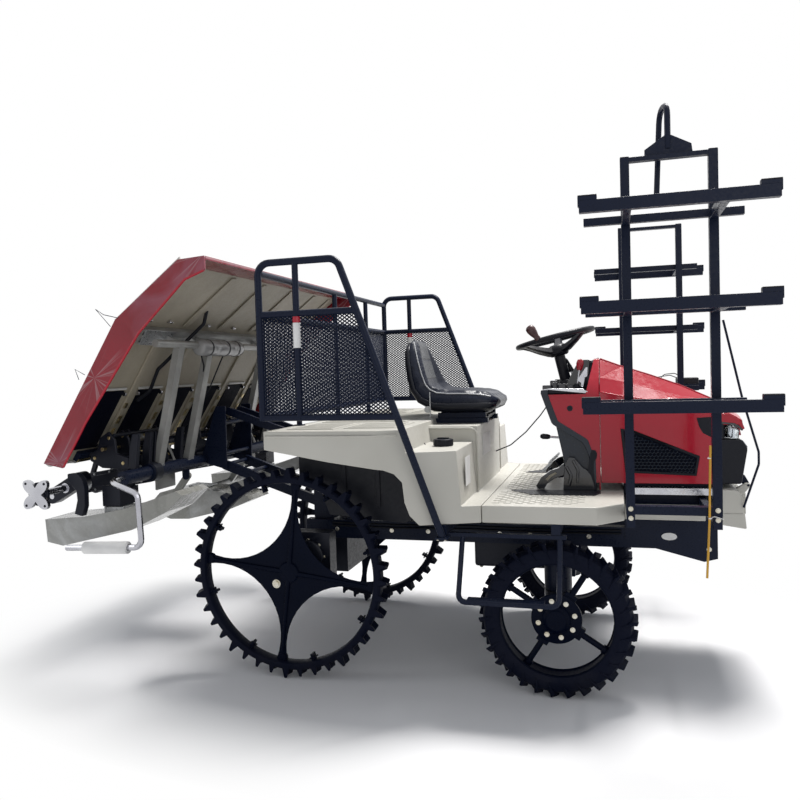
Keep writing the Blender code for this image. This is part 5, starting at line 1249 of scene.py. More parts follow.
def platform_floor():
    dressed("floor", IVORY, 0.006, 3)
    bm = bmesh.new()
    fields = ((0.93, 1.33, 0.3, 0.625), (0.935, 1.1, -0.27, 0.27))
    for x0, x1, y0, y1 in fields:
        for side in ((-1, 1) if y0 > 0 else (1,)):
            rows = int((y1 - y0) / 0.027)
            for row in range(rows):
                y = y0 + 0.0135 + row * 0.027
                start = x0 + (0.0 if row % 2 else 0.024)
                for dash in range(int((x1 - start) / 0.048)):
                    x = start + dash * 0.048
                    if y > 0.52 and x > 1.33 - (y - 0.52) * 0.9:
                        continue
                    block(bm, (x, side * y - 0.0045, 0.8151), (x + 0.032, side * y + 0.0045, 0.8168))
    finish_piece("floor_tread", bm, IVORY, bevel=0.0006, segments=1)
    bm = bmesh.new()
    for side in (-1, 1):
        edge = [(0.968, -0.285), (1.01, -0.274), (1.355, -0.274), (1.358, -0.34), (1.344, -0.38)]
        edge += [(1.344 - 0.29 * share / 24, -0.398 - (0.009 if share % 2 else 0.0))
                for share in range(1, 24)]
        edge += [(1.044, -0.372), (0.985, -0.32)]
        slab(bm, [(x, side * -y) for x, y in edge], 0.8152, 0.8178, PLAN)
    finish_piece("floor_mats", bm, BLACK_PLASTIC, bevel=0.0005, segments=1)
    # Edge lips, front skirts beside the rails and the silver strips over them
    bm = bmesh.new()
    for side in (-1, 1):
        side_block(bm, side, (1.455, 0.262, 0.697), (1.78, 0.296, 0.76))
    finish_piece("front_skirts", bm, IVORY, bevel=0.004)
    bm = bmesh.new()
    for side in (-1, 1):
        near, far = sorted((side * 0.22, side * 0.264))
        block(bm, (1.478, near, 0.822), (1.816, far, 0.83))
        edge = side * 0.264
        block(bm, (1.478, edge, 0.801), (1.816, edge + side * 0.004, 0.83))
    finish_piece("silver_strips", bm, BRIGHT, bevel=0.001)


def rear_deck():
    dressed("rear_body", IVORY, 0.01, 3)
    dressed("tank_cap", BLACK_PLASTIC, 0.004, 3)
    bm = bmesh.new()
    for rib in range(16):
        angle = math.tau * rib / 16
        spot = Vector((0.715 + 0.0405 * math.cos(angle), -0.52 + 0.0405 * math.sin(angle), 1.055))
        bar(bm, spot - Vector((0, 0, 0.012)), spot + Vector((0, 0, 0.012)), 0.003, 8)
    block(bm, (0.69, -0.526, 1.07), (0.74, -0.514, 1.076))
    finish_piece("tank_cap_grip", bm, BLACK_PLASTIC, bevel=0.001)
    # Raised panels and ribs pressed into the deck, and the fairing lines of the tank box
    bm = bmesh.new()
    for x0, x1, y0, y1 in ((0.09, 0.3, -0.74, -0.4), (0.09, 0.3, 0.4, 0.74), (0.33, 0.56, -0.7, -0.4),
            (0.33, 0.56, 0.4, 0.7), (0.09, 0.5, -0.34, 0.34)):
        block(bm, (x0, y0, 1.1321), (x1, y1, 1.1345))
        count = int((y1 - y0) / 0.045)
        for rib in range(count):
            y = y0 + 0.022 + rib * 0.045
            block(bm, (x0 + 0.014, y - 0.004, 1.1345), (x1 - 0.014, y + 0.004, 1.1362))
    block(bm, (0.64, 0.4, 1.0402), (0.79, 0.62, 1.043))
    finish_piece("deck_panels", bm, IVORY, bevel=0.0012)
    bm = bmesh.new()
    for side in (-1, 1):
        pipe(bm, [(0.575, side * 0.3305, 1.1), (0.8, side * 0.3305, 1.1), (0.826, side * 0.3305, 1.085),
                (0.829, side * 0.3305, 0.83)], 0.006, 0.03, 8)
        pipe(bm, [(0.03, side * 0.8205, 1.11), (0.5, side * 0.8205, 1.11), (0.585, side * 0.789, 1.11)],
                0.005, 0.03, 8)
    finish_piece("deck_beads", bm, IVORY, smooth=60.0)
    # Black sheets with ribs inside the wheel arches, put where the shade under the deck falls: painted
    # shade
    bm = bmesh.new()
    for side in (-1, 1):
        slab(bm, [(0.165, 0.72), (0.52, 0.69), (0.64, 0.76), (0.66, 0.86), (0.66, 1.0), (0.56, 1.112),
                (0.02, 1.112), (0.02, 0.9), (0.11, 0.86)], *sides(side, 0.462, 0.468))
        for x in (0.24, 0.4, 0.56):
            side_block(bm, side, (x - 0.01, 0.468, 0.76), (x + 0.01, 0.474, 1.06))
    finish_piece("arch_shade_liners", bm, BLACK_PLASTIC, bevel=0.002)
    # Blank plates where such machines carry their notices
    bm = bmesh.new()
    block(bm, (0.823, -0.6, 0.88), (0.8242, -0.5, 1.0))
    block(bm, (0.829, -0.2, 0.96), (0.8302, 0.02, 1.06))
    finish_piece("blank_plates", bm, WHITE_FOAM, bevel=0.0004, segments=1)


# Seedling racks

def racks():
    for word in ("right", "left"):
        dressed("rack_" + word, BLACK_PAINT, 0.003)
        for number in (1, 2, 3):
            dressed("shelf_%d_%s" % (number, word), BLACK_PAINT, 0.004, 3)
    bolts, ends, pads = bmesh.new(), bmesh.new(), bmesh.new()
    for side in (-1, 1):
        for x in (1.472, 1.772):
            for z in (1.222, 1.556, 1.888):
                bolt(bolts, (x, side * 0.761, z), (0, side, 0), 0.006, 0.005)
                bolt(bolts, (x, side * 1.0505, z - 0.002), (0, -side, 0), 0.0045, 0.004)
            for z in (0.795, 0.83):
                bolt(bolts, (x, side * 0.7612, z), (0, side, 0), 0.007, 0.006)
            side_block(ends, side, (x - 0.015, 0.73, 2.1148), (x + 0.015, 0.76, 2.118))
        # Rubber cushions on the shelf ends
        for z in (1.222, 1.556, 1.888):
            for x0, x1 in ((1.3165, 1.3775), (1.8705, 1.9315)):
                side_block(pads, side, (x0, 1.0515, z + 0.033), (x1, 1.0795, z + 0.0375))
    finish_piece("rack_bolts", bolts, ZINC, bevel=0.0005, segments=1)
    finish_piece("rack_post_caps", ends, BLACK_PLASTIC, bevel=0.001)
    finish_piece("shelf_cushions", pads, BLACK_PLASTIC, bevel=0.0015)
    # Yellow marker rod hung on the right rack, with its tie and hook
    bm = bmesh.new()
    pipe(bm, [(1.748, -0.77, 1.065), (1.745, -0.769, 0.94), (1.742, -0.7695, 0.803),
            (1.731, -0.77, 0.586)], 0.0042, sides=10)
    finish_piece("yellow_rod", bm, YELLOW, smooth=60.0)
    bm = bmesh.new()
    for z in (1.02, 0.803):
        lathe(bm, [(-0.002, 0.006), (0.002, 0.006), (0.002, 0.0044), (-0.002, 0.0044), (-0.002, 0.006)],
                (1.744, -0.7695, z), (0, 0, 1), 16)
    pipe(bm, [(1.744, -0.764, 0.803), (1.76, -0.77, 0.81), (1.79, -0.768, 0.8)], 0.0016, sides=6)
    finish_piece("rod_ties", bm, WHITE_FOAM, smooth=60.0)
    dressed("front_marker", BLACK_PAINT, 0.001)


# Running gear under the floor

def running_gear():
    for node, material, width in (("frame", BLACK_PAINT, 0.003), ("front_axle", BLACK_PAINT, 0.005),
            ("rear_axle", DARK_CASE, 0.01), ("transmission", DARK_CASE, 0.014),
            ("engine", DARK_CASE, 0.01), ("knuckle_right", DARK_CASE, 0.005),
            ("knuckle_left", DARK_CASE, 0.005), ("lower_links", BLACK_PAINT, 0.003),
            ("upper_links", BLACK_PAINT, 0.003), ("lift_cylinder", BLACK_PAINT, 0.003),
            ("lift_rod", BRIGHT, 0.001), ("side_step_right", BLACK_PAINT, 0.001),
            ("side_step_left", BLACK_PAINT, 0.001)):
        dressed(node, material, width, 3)
    bm = bmesh.new()
    for side in (-1, 1):
        for x, z in ((1.48, 0.82), (1.56, 0.82), (1.7, 0.82), (1.8, 0.82), (1.48, 0.66), (1.8, 0.56),
                (1.76, 0.7)):
            bolt(bm, (x, side * 0.218, z), (0, side, 0), 0.008, 0.006)
        for x in (0.1, 0.24, 0.38, 0.56, 0.9, 1.04, 1.3):
            bolt(bm, (x, side * 0.215, 0.6), (0, side, 0), 0.008, 0.006)
        for angle in range(8):
            turn = math.tau * angle / 8
            bolt(bm, (0.06 + 0.062 * math.cos(turn) * 1.2, side * 0.485,
                    0.53 + 0.062 * math.sin(turn) * 1.2), (0, side, 0), 0.006, 0.005)
    for x in (0.8, 0.88, 0.96, 1.04):
        for side in (-1, 1):
            bolt(bm, (x, side * 0.15, 0.43), (0, 0, -1), 0.007, 0.006)
    finish_piece("chassis_bolts", bm, ZINC, bevel=0.0005, segments=1)
    # Drop cases' round covers, gear-case ribs and the front plates' oval
    bm = bmesh.new()
    for side in (-1, 1):
        lathe(bm, [(side * along, radius) for along, radius in ((0.0, 0.0), (0.0, 0.076), (0.01, 0.074),
                (0.014, 0.066), (0.015, 0.03), (0.024, 0.028), (0.026, 0.0))], (0.06, side * 0.4852, 0.53),
                (0, 1, 0), 36)
        for rib in range(5):
            block(bm, (0.8 + rib * 0.06, side * 0.12 - 0.004, 0.424),
                    (0.806 + rib * 0.06, side * 0.12 + 0.036, 0.43))
        lathe(bm, [(side * along, radius) for along, radius in ((0.0, 0.0), (0.0, 0.034), (0.004, 0.032),
                (0.006, 0.0))], (1.175, side * 0.342, 0.465), (0, 1, 0), 20)
        # Kingpin cap, grease nipple and boot
        lathe(bm, [(0.0, 0.052), (0.01, 0.05), (0.016, 0.04), (0.018, 0.012), (0.026, 0.01), (0.028, 0.0)],
                (1.175, side * 0.398, 0.53), (0, 0, 1), 28)
    finish_piece("case_covers", bm, DARK_CASE, smooth=40.0, bevel=0.001)
    bm = bmesh.new()
    lathe(bm, [(0.0, 0.0), (0.0, 0.02), (0.0014, 0.02), (0.0014, 0.0)], (1.639, -0.218, 0.611), (0, -1, 0),
            28)
    verts = bm.verts[:]
    bmesh.ops.translate(bm, vec=(-1.639, 0, -0.611), verts=verts)
    bmesh.ops.scale(bm, vec=(1.6, 1.0, 0.8), verts=verts)
    bmesh.ops.translate(bm, vec=(1.639, 0, 0.611), verts=verts)
    finish_piece("front_plate_oval", bm, WHITE_FOAM)
    # Pipes and cables: hydraulic lines to the lift cylinder, wires along the rails, tie rod at the axle
    bm = bmesh.new()
    pipe(bm, [(0.78, -0.06, 0.6205), (0.74, -0.06, 0.69), (0.56, -0.062, 0.72), (0.48, -0.06, 0.8),
            (0.43, -0.026, 0.836)], 0.0075, 0.04, 10)
    pipe(bm, [(0.8, 0.06, 0.6205), (0.75, 0.062, 0.68), (0.6, 0.064, 0.7), (0.5, 0.056, 0.79),
            (0.44, 0.024, 0.836)], 0.0075, 0.04, 10)
    for y, z in ((-0.2215, 0.632), (-0.2215, 0.618), (0.2215, 0.632)):
        pipe(bm, [(0.08, y, z), (0.4, y, z - 0.004), (0.76, y, z), (1.1, y, z - 0.005), (1.44, y, z)],
                0.0042, 0.06, 8)
    finish_piece("hoses_and_wires", bm, BLACK_PLASTIC, smooth=60.0)
    bm = bmesh.new()
    bar(bm, (1.095, -0.15, 0.47), (1.095, 0.15, 0.47), 0.011, 14)
    finish_piece("axle_rod", bm, GREY_STEEL, smooth=60.0)


# Planting unit behind the rear wheels

SHEET_LOW, SHEET_BEND = Vector((-0.982, 0.998)), Vector((-0.586, 1.606))
SHEET_RUN = (SHEET_BEND - SHEET_LOW).normalized()
LANES = (-0.725, -0.435, -0.145, 0.145, 0.435, 0.725)


def on_sheet(share, out):
    """A side-view point at a share of the sheet's lower run; out counts downwards from its underside."""
    point = SHEET_LOW.lerp(SHEET_BEND, share) + Vector((SHEET_RUN.y, -SHEET_RUN.x)) * out
    return point.x, point.y


def sheet_slab(bm, first, last, low, high, y0, y1):
    slab(bm, [on_sheet(first, low), on_sheet(last, low), on_sheet(last, high), on_sheet(first, high)], y0,
            y1)


def platform():
    dressed("platform", BEIGE_SHEET, 0.003)
    belts, strips, ribs, rollers = bmesh.new(), bmesh.new(), bmesh.new(), bmesh.new()
    for y in LANES:
        sheet_slab(belts, 0.09, 0.52, 0.001, 0.005, y - 0.089, y + 0.089)
        # The same belt runs over the top face, ribbed for the mats
        sheet_slab(belts, 0.06, 0.56, -0.0225, -0.019, y - 0.089, y + 0.089)
        for rib in range(34):
            share = 0.07 + rib * 0.0145
            sheet_slab(belts, share, share + 0.005, -0.0245, -0.0225, y - 0.086, y + 0.086)
        sheet_slab(strips, 0.53, 0.545, 0.0004, 0.009, y - 0.096, y + 0.096)
        for share in (0.1, 0.5):
            point = on_sheet(share, 0.01)
            for end in (-0.094, 0.094):
                bar(rollers, (point[0], y + end - 0.005, point[1]), (point[0], y + end + 0.005, point[1]),
                        0.01, 14)
    for y in (-0.87, -0.58, -0.29, 0.0, 0.29, 0.58, 0.87):
        sheet_slab(ribs, 0.1, 0.87, 0.0004, 0.011, y - 0.014, y + 0.014)
        sheet_slab(strips, 0.02, 0.985, -0.045, -0.019, y - 0.004, y + 0.004)
        slab(strips, [(-0.612, 1.6), (-0.3, 1.838), (-0.304, 1.868), (-0.632, 1.622)], y - 0.004, y + 0.004)
    finish_piece("feed_belts", belts, BELT_RUBBER, "platform", bevel=0.0008, segments=1)
    finish_piece("lane_strips", strips, LANE_WHITE, "platform", bevel=0.001, segments=1)
    # Passivated guides, springs and their bolts between the belts
    bm = bmesh.new()
    for y in (-0.58, -0.29, 0.0, 0.29, 0.58):
        sheet_slab(bm, 0.12, 0.235, 0.0112, 0.0145, y - 0.012, y + 0.012)
        sheet_slab(bm, 0.27, 0.33, 0.0112, 0.015, y - 0.009, y + 0.016)
        sheet_slab(bm, 0.395, 0.43, 0.0112, 0.019, y - 0.014, y + 0.006)
        for share in (0.135, 0.22, 0.3, 0.412):
            spot = on_sheet(share, 0.0145)
            bolt(bm, (spot[0], y, spot[1]), (SHEET_RUN.y, 0, -SHEET_RUN.x), 0.0045, 0.0045)
    finish_piece("mat_guides", bm, BRASS, "platform", bevel=0.0008, segments=1)
    finish_piece("sheet_ribs", ribs, BEIGE_SHEET, "platform", bevel=0.003)
    finish_piece("belt_rollers", rollers, BRIGHT, "platform", bevel=0.001)
    # Folded upper part: cross creases, clips along it and the hinge line
    bm = bmesh.new()
    for y in (-0.74, -0.58, -0.24, 0.02, 0.3, 0.6):
        bar(bm, (-0.548, y, 1.629), (-0.542, y, 1.618), 0.0075, 12)
        block(bm, (-0.56, y - 0.012, 1.619), (-0.54, y + 0.012, 1.6245))
    finish_piece("sheet_clips", bm, BRIGHT, "platform", bevel=0.001)
    bm = bmesh.new()
    for y in (-0.78, -0.43, -0.1, 0.24, 0.56, 0.8):
        slab(bm, [(-0.566, 1.614), (-0.292, 1.8255), (-0.29, 1.8215), (-0.562, 1.6095)], y - 0.02, y + 0.02)
    finish_piece("upper_folds", bm, BEIGE_SHEET, "platform", bevel=0.0015)
    # White edge at the low end, where the mats are taken
    bm = bmesh.new()
    slab(bm, [(-1.004, 1.003), (-0.985, 0.991), (-0.975, 0.9905), (-0.975, 0.997), (-1.0, 1.009)], -0.9,
            0.9)
    for y in LANES:
        block(bm, (-1.012, y - 0.012, 0.985), (-0.984, y + 0.012, 0.996))
    finish_piece("low_edge_strip", bm, LANE_WHITE, "platform", bevel=0.001)
    # Covers at both ends, half wrapped in clear film as delivered
    for word, side in (("right", -1), ("left", 1)):
        dressed("platform_cover_" + word, WRAPPED_RED, 0.004, 3)
        bm = bmesh.new()
        pipe(bm, [(-0.172, side * 0.909, 1.8), (-0.262, side * 0.909, 1.768),
                (-0.491, side * 0.909, 1.558), (-0.771, side * 0.909, 1.188),
                (-0.899, side * 0.909, 0.992)], 0.0062, 0.03, 8)
        finish_piece("cover_bead_" + word, bm, RED_GLOSS, "platform", smooth=60.0)
        bm = bmesh.new()
        pipe(bm, [(-0.62, side * 0.917, 1.59), (-0.68, side * 0.93, 1.665), (-0.64, side * 0.932, 1.64),
                (-0.583, side * 0.918, 1.625)], 0.0016, sides=6)
        pipe(bm, [(-0.76, side * 0.917, 1.39), (-0.8, side * 0.927, 1.415), (-0.79, side * 0.918, 1.37)],
                0.0016, sides=6)
        finish_piece("film_wires_" + word, bm, BLACK_PAINT, "platform", smooth=60.0)
    dressed("platform_top", WRAPPED_RED, 0.003, 3)


def planting_frame():
    node = "planting_frame"
    beam = Vector((-0.665, 0.93))
    rail = Vector((-0.515, 1.52))
    rotor = Vector((-1.01, 0.875))
    bm = bmesh.new()
    bar(bm, (beam.x, -0.82, beam.y), (beam.x, 0.82, beam.y), 0.0315, 24)
    for side in (-1, 1):
        slab(bm, [(-0.685, 0.92), (-0.53, 0.878), (-0.526, 1.21), (-0.58, 1.21)],
                *sides(side, 0.135, 0.145))
        for y in (-0.6, 0.6):
            bar(bm, (beam.x, y - 0.036, beam.y), (beam.x, y + 0.036, beam.y), 0.04, 24)
        lug_near, lug_far = sorted((side * 0.3106, side * 0.322))
        strut(bm, beam, (-0.665, 0.868), lug_near, lug_far, 0.019)
    bar(bm, (-0.55, -0.139, 0.96), (-0.55, 0.139, 0.96), 0.0105, 12)
    bar(bm, (-0.554, -0.139, 1.12), (-0.554, 0.139, 1.12), 0.0105, 12)
    slab(bm, [on_sheet(0.012, 0.0008), on_sheet(0.076, 0.0008), on_sheet(0.076, 0.0255),
            on_sheet(0.012, 0.0255)], -0.756, 0.756)
    finish_piece("unit_beam", bm, BLACK_PAINT, "planting_unit", (node,), bevel=0.002)
    # Gear cases from the beam back to the planting shafts
    bm = bmesh.new()
    caps = bmesh.new()
    for y in (-0.6, 0.0, 0.6):
        strut(bm, beam, rotor, y - 0.0295, y + 0.0295, 0.0455, 14)
        strut(bm, beam.lerp(rotor, 0.1), beam.lerp(rotor, 0.92), y - 0.0345, y + 0.0345, 0.03, 12)
        strut(bm, rotor, on_sheet(0.045, 0.013), y - 0.008, y + 0.008, 0.012)
        for side in (-1, 1):
            lathe(caps, [(side * along, radius) for along,
                    radius in ((0.0, 0.0172), (0.0, 0.036), (0.006, 0.036), (0.009, 0.03),
                    (0.01, 0.0172))], (rotor.x, y + side * 0.0295, rotor.y), (0, 1, 0), 28)
            for share in (0.12, 0.37, 0.62, 0.86):
                for off in (-0.036, 0.036):
                    spot = beam.lerp(rotor, share)
                    bolt(caps, (spot.x, y + side * 0.0295, spot.y + off), (0, side, 0), 0.0045, 0.004)
    finish_piece("planting_cases", bm, DARK_CASE, "planting_unit", (node,), bevel=0.003, segments=3)
    finish_piece("case_caps", caps, GREY_STEEL, "planting_unit", bevel=0.0006, segments=1)
    # Grey posts of pressed channel, the rail they carry and the channel under the sheet
    bm = bmesh.new()
    run = (rail - beam).normalized()
    square = Vector((run.y, -run.x))
    for y in (-0.56, -0.3, 0.3, 0.56):
        for low, high, y0, y1 in ((0.0115, 0.0155, -0.0245, 0.0245), (-0.0155, 0.0155, -0.0245, -0.0205),
                (-0.0155, 0.0155, 0.0205, 0.0245), (-0.0155, -0.012, -0.0245, -0.012),
                (-0.0155, -0.012, 0.012, 0.0245)):
            outline = [beam + square * low, rail + square * low, rail + square * high, beam + square * high]
            slab(bm, [tuple(p) for p in outline], y + y0, y + y1)
        strut(bm, rail, on_sheet(0.9385, 0.017), y - 0.008, y + 0.008, 0.012)
    bar(bm, (rail.x, -0.756, rail.y), (rail.x, 0.756, rail.y), 0.0175, 18)
    channel = [on_sheet(0.885, 0.0008), on_sheet(0.992, 0.0008), on_sheet(0.992, 0.0338),
            on_sheet(0.976, 0.0338), on_sheet(0.976, 0.027), on_sheet(0.95, 0.027), on_sheet(0.95, 0.0338),
            on_sheet(0.927, 0.0338), on_sheet(0.927, 0.027), on_sheet(0.901, 0.027),
            on_sheet(0.901, 0.0338), on_sheet(0.885, 0.0338)]
    slab(bm, channel, -0.756, 0.756)
    finish_piece("unit_posts", bm, GREY_CHANNEL, "planting_unit", (node,), bevel=0.0008, segments=1)
    bm = bmesh.new()
    for side in (-1, 1):
        slab(bm, [on_sheet(0.884, 0.0342), on_sheet(0.99, 0.0342), on_sheet(0.99, 0.0362),
                on_sheet(0.884, 0.0362)], *sides(side, 0.52, 0.752))
    for y in (-0.56, -0.3, 0.3, 0.56):
        slab(bm, [(-0.69, 0.905), (-0.648, 0.905), (-0.64, 0.96), (-0.682, 0.96)], y - 0.026, y + 0.026)
    finish_piece("channel_ends", bm, GREY_STEEL, "planting_unit", bevel=0.001)
    # Shaking motor in its wrapping
    bm = bmesh.new()
    lathe(bm, [(-0.42, 0.0), (-0.42, 0.028), (-0.412, 0.038), (-0.38, 0.0415), (-0.3, 0.0395),
            (-0.22, 0.0415), (-0.14, 0.039), (-0.06, 0.0415), (-0.02, 0.036), (-0.01, 0.026),
            (-0.01, 0.0)], (-0.503, 0.0, 1.508), (0, 1, 0), 40)
    finish_piece("wrapped_motor", bm, FILM_WRAP, "planting_unit", (node,), smooth=60.0)
    bm = bmesh.new()
    for y in (-0.345, -0.18, -0.075):
        lathe(bm, [(-0.006, 0.0395), (-0.006, 0.0419), (0.006, 0.0419), (0.006, 0.0395)],
                (-0.503, y, 1.508), (0, 1, 0), 40)
    # Cable over the sheet, down between the belts, and loops to the motor
    pipe(bm, [(-0.478, -0.352, 1.727), (-0.5, -0.365, 1.624), (-0.536, -0.42, 1.566), (-0.636, -0.5, 1.44),
            (-0.668, -0.515, 1.408), (-0.736, -0.488, 1.305), (-0.76, -0.56, 1.262)], 0.0085, 0.03, 10)
    pipe(bm, [(-0.56, -0.302, 1.33), (-0.53, -0.33, 1.42), (-0.512, -0.38, 1.466)], 0.0038, 0.03, 8)
    pipe(bm, [(-0.59, -0.3, 1.23), (-0.56, -0.24, 1.3), (-0.52, -0.22, 1.4), (-0.508, -0.18, 1.468)],
            0.0038, 0.03, 8)
    finish_piece("unit_cables", bm, BLACK_PLASTIC, "planting_unit", smooth=60.0)
    bm = bmesh.new()
    block(bm, (-0.5, -0.37, 1.727), (-0.45, -0.32, 1.752))
    lathe(bm, [(0.0, 0.0), (0.0, 0.016), (0.03, 0.016), (0.034, 0.01), (0.035, 0.0)], (-0.474, -0.3, 1.74),
            (0, 1, 0), 18)
    finish_piece("cable_socket", bm, DARK_CASE, "planting_unit", bevel=0.003)
    # Drive shaft, gear boxes and brackets that crowd the space under the belts
    bm = bmesh.new()
    bar(bm, (-0.735, -0.7, 0.975), (-0.735, 0.7, 0.975), 0.013, 18)
    for y in (-0.7, -0.43, -0.17, 0.17, 0.43, 0.7):
        lathe(bm, [(-0.022, 0.0), (-0.022, 0.036), (-0.012, 0.041), (0.012, 0.041), (0.022, 0.036),
                (0.022, 0.0)], (-0.735, y, 0.975), (0, 1, 0), 26)
        block(bm, (-0.775, y - 0.012, 0.93), (-0.7, y + 0.012, 0.972))
    finish_piece("drive_gears", bm, DARK_CASE, "planting_unit", bevel=0.002)
    bm = bmesh.new()
    for y in (-0.5, -0.37, 0.37, 0.5):
        pipe(bm, [(-0.69, y, 0.955), (-0.74, y, 1.06), (-0.8, y, 1.1)], 0.007, 0.03, 8)
        bar(bm, (-0.8, y - 0.02, 1.1), (-0.8, y + 0.02, 1.1), 0.011, 14)
    block(bm, (-0.712, -0.514, 0.828), (-0.7, -0.358, 0.906))
    block(bm, (-0.712, 0.358, 0.828), (-0.7, 0.514, 0.906))
    finish_piece("unit_brackets", bm, GREY_CHANNEL, "planting_unit", bevel=0.0015)
    # Black hooks and lift cases at the floats, gear housings under the belts
    bm, bits = bmesh.new(), bmesh.new()
    for side in (-1, 1):
        slab(bm, [(-0.908, 0.956), (-0.858, 0.96), (-0.832, 0.93), (-0.822, 0.89), (-0.824, 0.812),
                (-0.84, 0.768), (-0.88, 0.778), (-0.862, 0.84), (-0.865, 0.88), (-0.908, 0.926)],
                *sides(side, 0.846, 0.878))
        side_block(bm, side, (-0.8, 0.67, 0.798), (-0.706, 0.79, 0.892))
        slab(bm, [(-0.86, 0.8), (-0.8, 0.83), (-0.7, 0.88), (-0.7, 0.84), (-0.79, 0.79), (-0.85, 0.778)],
                *sides(side, 0.66, 0.7))
    for y in (-0.72, -0.62, -0.58, -0.36, 0.0, 0.36, 0.58, 0.62, 0.72):
        slab(bm, [(-0.7, 0.955), (-0.842, 0.962), (-0.905, 0.995), (-0.9, 1.03), (-0.862, 1.05),
                (-0.85, 1.1), (-0.8, 1.13), (-0.768, 1.09), (-0.76, 1.03), (-0.7, 1.01)], y - 0.007,
                y + 0.007)
        slab(bm, [(-0.66, 0.955), (-0.7, 0.96), (-0.69, 1.06), (-0.672, 1.12), (-0.64, 1.12)], y - 0.012,
                y + 0.012)
        for x, z in ((-0.88, 1.008), (-0.8, 1.1), (-0.73, 0.985)):
            bolt(bits, (x, y - 0.007, z), (0, -1, 0), 0.006, 0.005)
        bar(bits, (-0.82, y - 0.03, 1.05), (-0.82, y + 0.03, 1.05), 0.009, 12)
    for y0, y1 in ((-0.72, -0.36), (0.36, 0.72)):
        bar(bm, (-0.86, y0, 1.02), (-0.86, y1, 1.02), 0.012, 14)
        bar(bm, (-0.78, y0, 1.11), (-0.78, y1, 1.11), 0.009, 12)
    finish_piece("feed_housings", bm, DARK_CASE, "planting_unit", bevel=0.004)
    for y in (-0.47, 0.47):
        lathe(bits, [(-0.04, 0.0), (-0.04, 0.02), (-0.034, 0.02), (-0.034, 0.012), (0.034, 0.012),
                (0.034, 0.02), (0.04, 0.02), (0.04, 0.0)], (-0.86, y, 1.02), (0, 1, 0), 18)
    sheet_slab(bits, 0.014, 0.036, 0.026, 0.029, -0.756, 0.756)
    finish_piece("feed_hardware", bits, BRASS, "planting_unit", bevel=0.0008, segments=1)


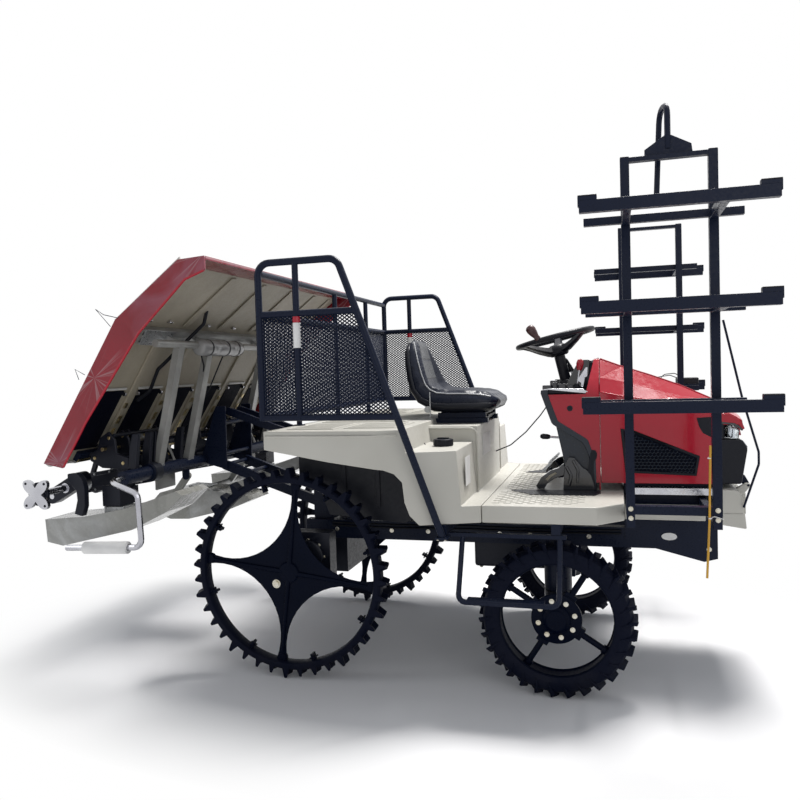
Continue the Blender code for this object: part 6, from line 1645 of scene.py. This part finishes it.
def planting_arms():
    for word, y in (("right", -0.6), ("middle", 0.0), ("left", 0.6)):
        node = "planting_rotor_" + word
        bm, dark = bmesh.new(), bmesh.new()
        x, z = -1.01, 0.875
        outer = math.copysign(1.0, y)
        ends = (y - 0.15, y + 0.15)
        if word != "middle":
            ends = (y - outer * 0.15, y + outer * 0.358)
        bar(bm, (x, ends[0], z), (x, ends[1], z), 0.0158, 20)
        reach = 0.118 - 0.034
        tip = Vector((math.cos(0.5), math.sin(0.5))) * reach
        for side in (-1, 1):
            middle = y + side * 0.15
            # Rotary case of two planting arms, with forks at both ends
            strut(dark, (x - tip.x, z - tip.y), (x + tip.x, z + tip.y), middle - 0.0245, middle + 0.0245,
                    0.0335, 12)
            lathe(bm, [(-0.025, 0.0), (-0.025, 0.022), (-0.0235, 0.024), (0.0235, 0.024), (0.025, 0.022),
                    (0.025, 0.0)], (x, middle, z), (0, 1, 0), 24)
            for sign in (-1, 1):
                pin = (x + sign * tip.x, middle, z + sign * tip.y)
                lathe(bm, [(-0.025, 0.0), (-0.025, 0.012), (0.025, 0.012), (0.025, 0.0)], pin, (0, 1, 0),
                        20)
                for fork in (-0.009, 0.009):
                    away = Vector((sign * math.cos(0.5), 0, sign * math.sin(0.5)))
                    start = Vector(pin) + Vector((0, fork, 0)) + away * 0.018
                    bar(bm, start, start + away * 0.0155, 0.003, 8, 0.0016)
        if word != "middle":
            near, far = sorted((y + outer * 0.342, y + outer * 0.36))
            outline = []
            for step in range(48):
                angle = math.tau * step / 48
                out = 0.03 + 0.053 * abs(math.sin(2 * angle)) ** 1.6
                outline.append((x + out * math.cos(angle), z + out * math.sin(angle)))
            slab(bm, outline, near, far)
            disc_near, disc_far = sorted((y + outer * 0.33, y + outer * 0.3415))
            lathe(dark, [(disc_near, 0.0), (disc_near, 0.052), (disc_far, 0.052), (disc_far, 0.0)],
                    (x, 0.0, z), (0, 1, 0), 24)
            for k in range(4):
                angle = math.tau * (k + 0.5) / 4
                spot = (x + 0.068 * math.cos(angle), near if outer < 0 else far,
                        z + 0.068 * math.sin(angle))
                bolt(dark, spot, (0, outer, 0), 0.0045, 0.003)
        finish_piece(node + "_arms", bm, BRIGHT, node, (node,), bevel=0.0015)
        finish_piece(node + "_case", dark, DARK_CASE, node, bevel=0.002)


def floats():
    dressed("floats", WRAPPED_FLOAT, 0.014, 4)
    for word in ("right", "left"):
        dressed("end_guard_" + word, BRIGHT, 0.001)
    bm = bmesh.new()
    for side in (-1, 1):
        start, end = Vector((-0.52, side * 0.91, 0.65)), Vector((-0.9, side * 0.91, 0.635))
        first, last = start.lerp(end, 0.178), start.lerp(end, 0.752)
        way = (last - first).normalized()
        lathe(bm, [(0.0, 0.0135), (0.0, 0.0255), (0.002, 0.0266), ((last - first).length - 0.002, 0.0266),
                ((last - first).length, 0.0255), ((last - first).length, 0.0135)], first, way, 28)
    finish_piece("guard_foam", bm, WHITE_FOAM, "planting_unit", smooth=50.0)
    # Pads, mounting plates and straps on the floats
    bm = bmesh.new()
    for y in (-0.73, 0.73):
        block(bm, (-0.8, y - 0.05, 0.77), (-0.7, y + 0.05, 0.796))
    block(bm, (-0.82, -0.05, 0.769), (-0.7, 0.05, 0.776))
    finish_piece("float_plates", bm, GREY_STEEL, "planting_unit", bevel=0.002)


# Small things beside the far rack

def far_side_kit():
    bm = bmesh.new()
    block(bm, (1.752, 0.765, 1.2445), (1.868, 0.84, 1.279))
    finish_piece("wire_box", bm, BLACK_PLASTIC, bevel=0.006, segments=3)
    bm = bmesh.new()
    pipe(bm, [(1.76, 0.8, 1.278), (1.72, 0.79, 1.295), (1.65, 0.78, 1.285), (1.6, 0.776, 1.25)], 0.0024,
            0.03, 6)
    pipe(bm, [(1.78, 0.81, 1.278), (1.75, 0.81, 1.305), (1.69, 0.8, 1.3), (1.64, 0.78, 1.245)], 0.0024,
            0.03, 6)
    finish_piece("box_wires", bm, BLACK_PLASTIC, smooth=60.0)


place_camera()
studio()
for word, side in (("right", -1), ("left", 1)):
    rear_wheel(word, side)
    front_wheel(word, side)
    side_guard(word, side)
rear_guard()
running_gear()
platform_floor()
rear_deck()
seat()
cowl()
hood()
steering()
racks()
platform()
planting_frame()
planting_arms()
floats()
far_side_kit()
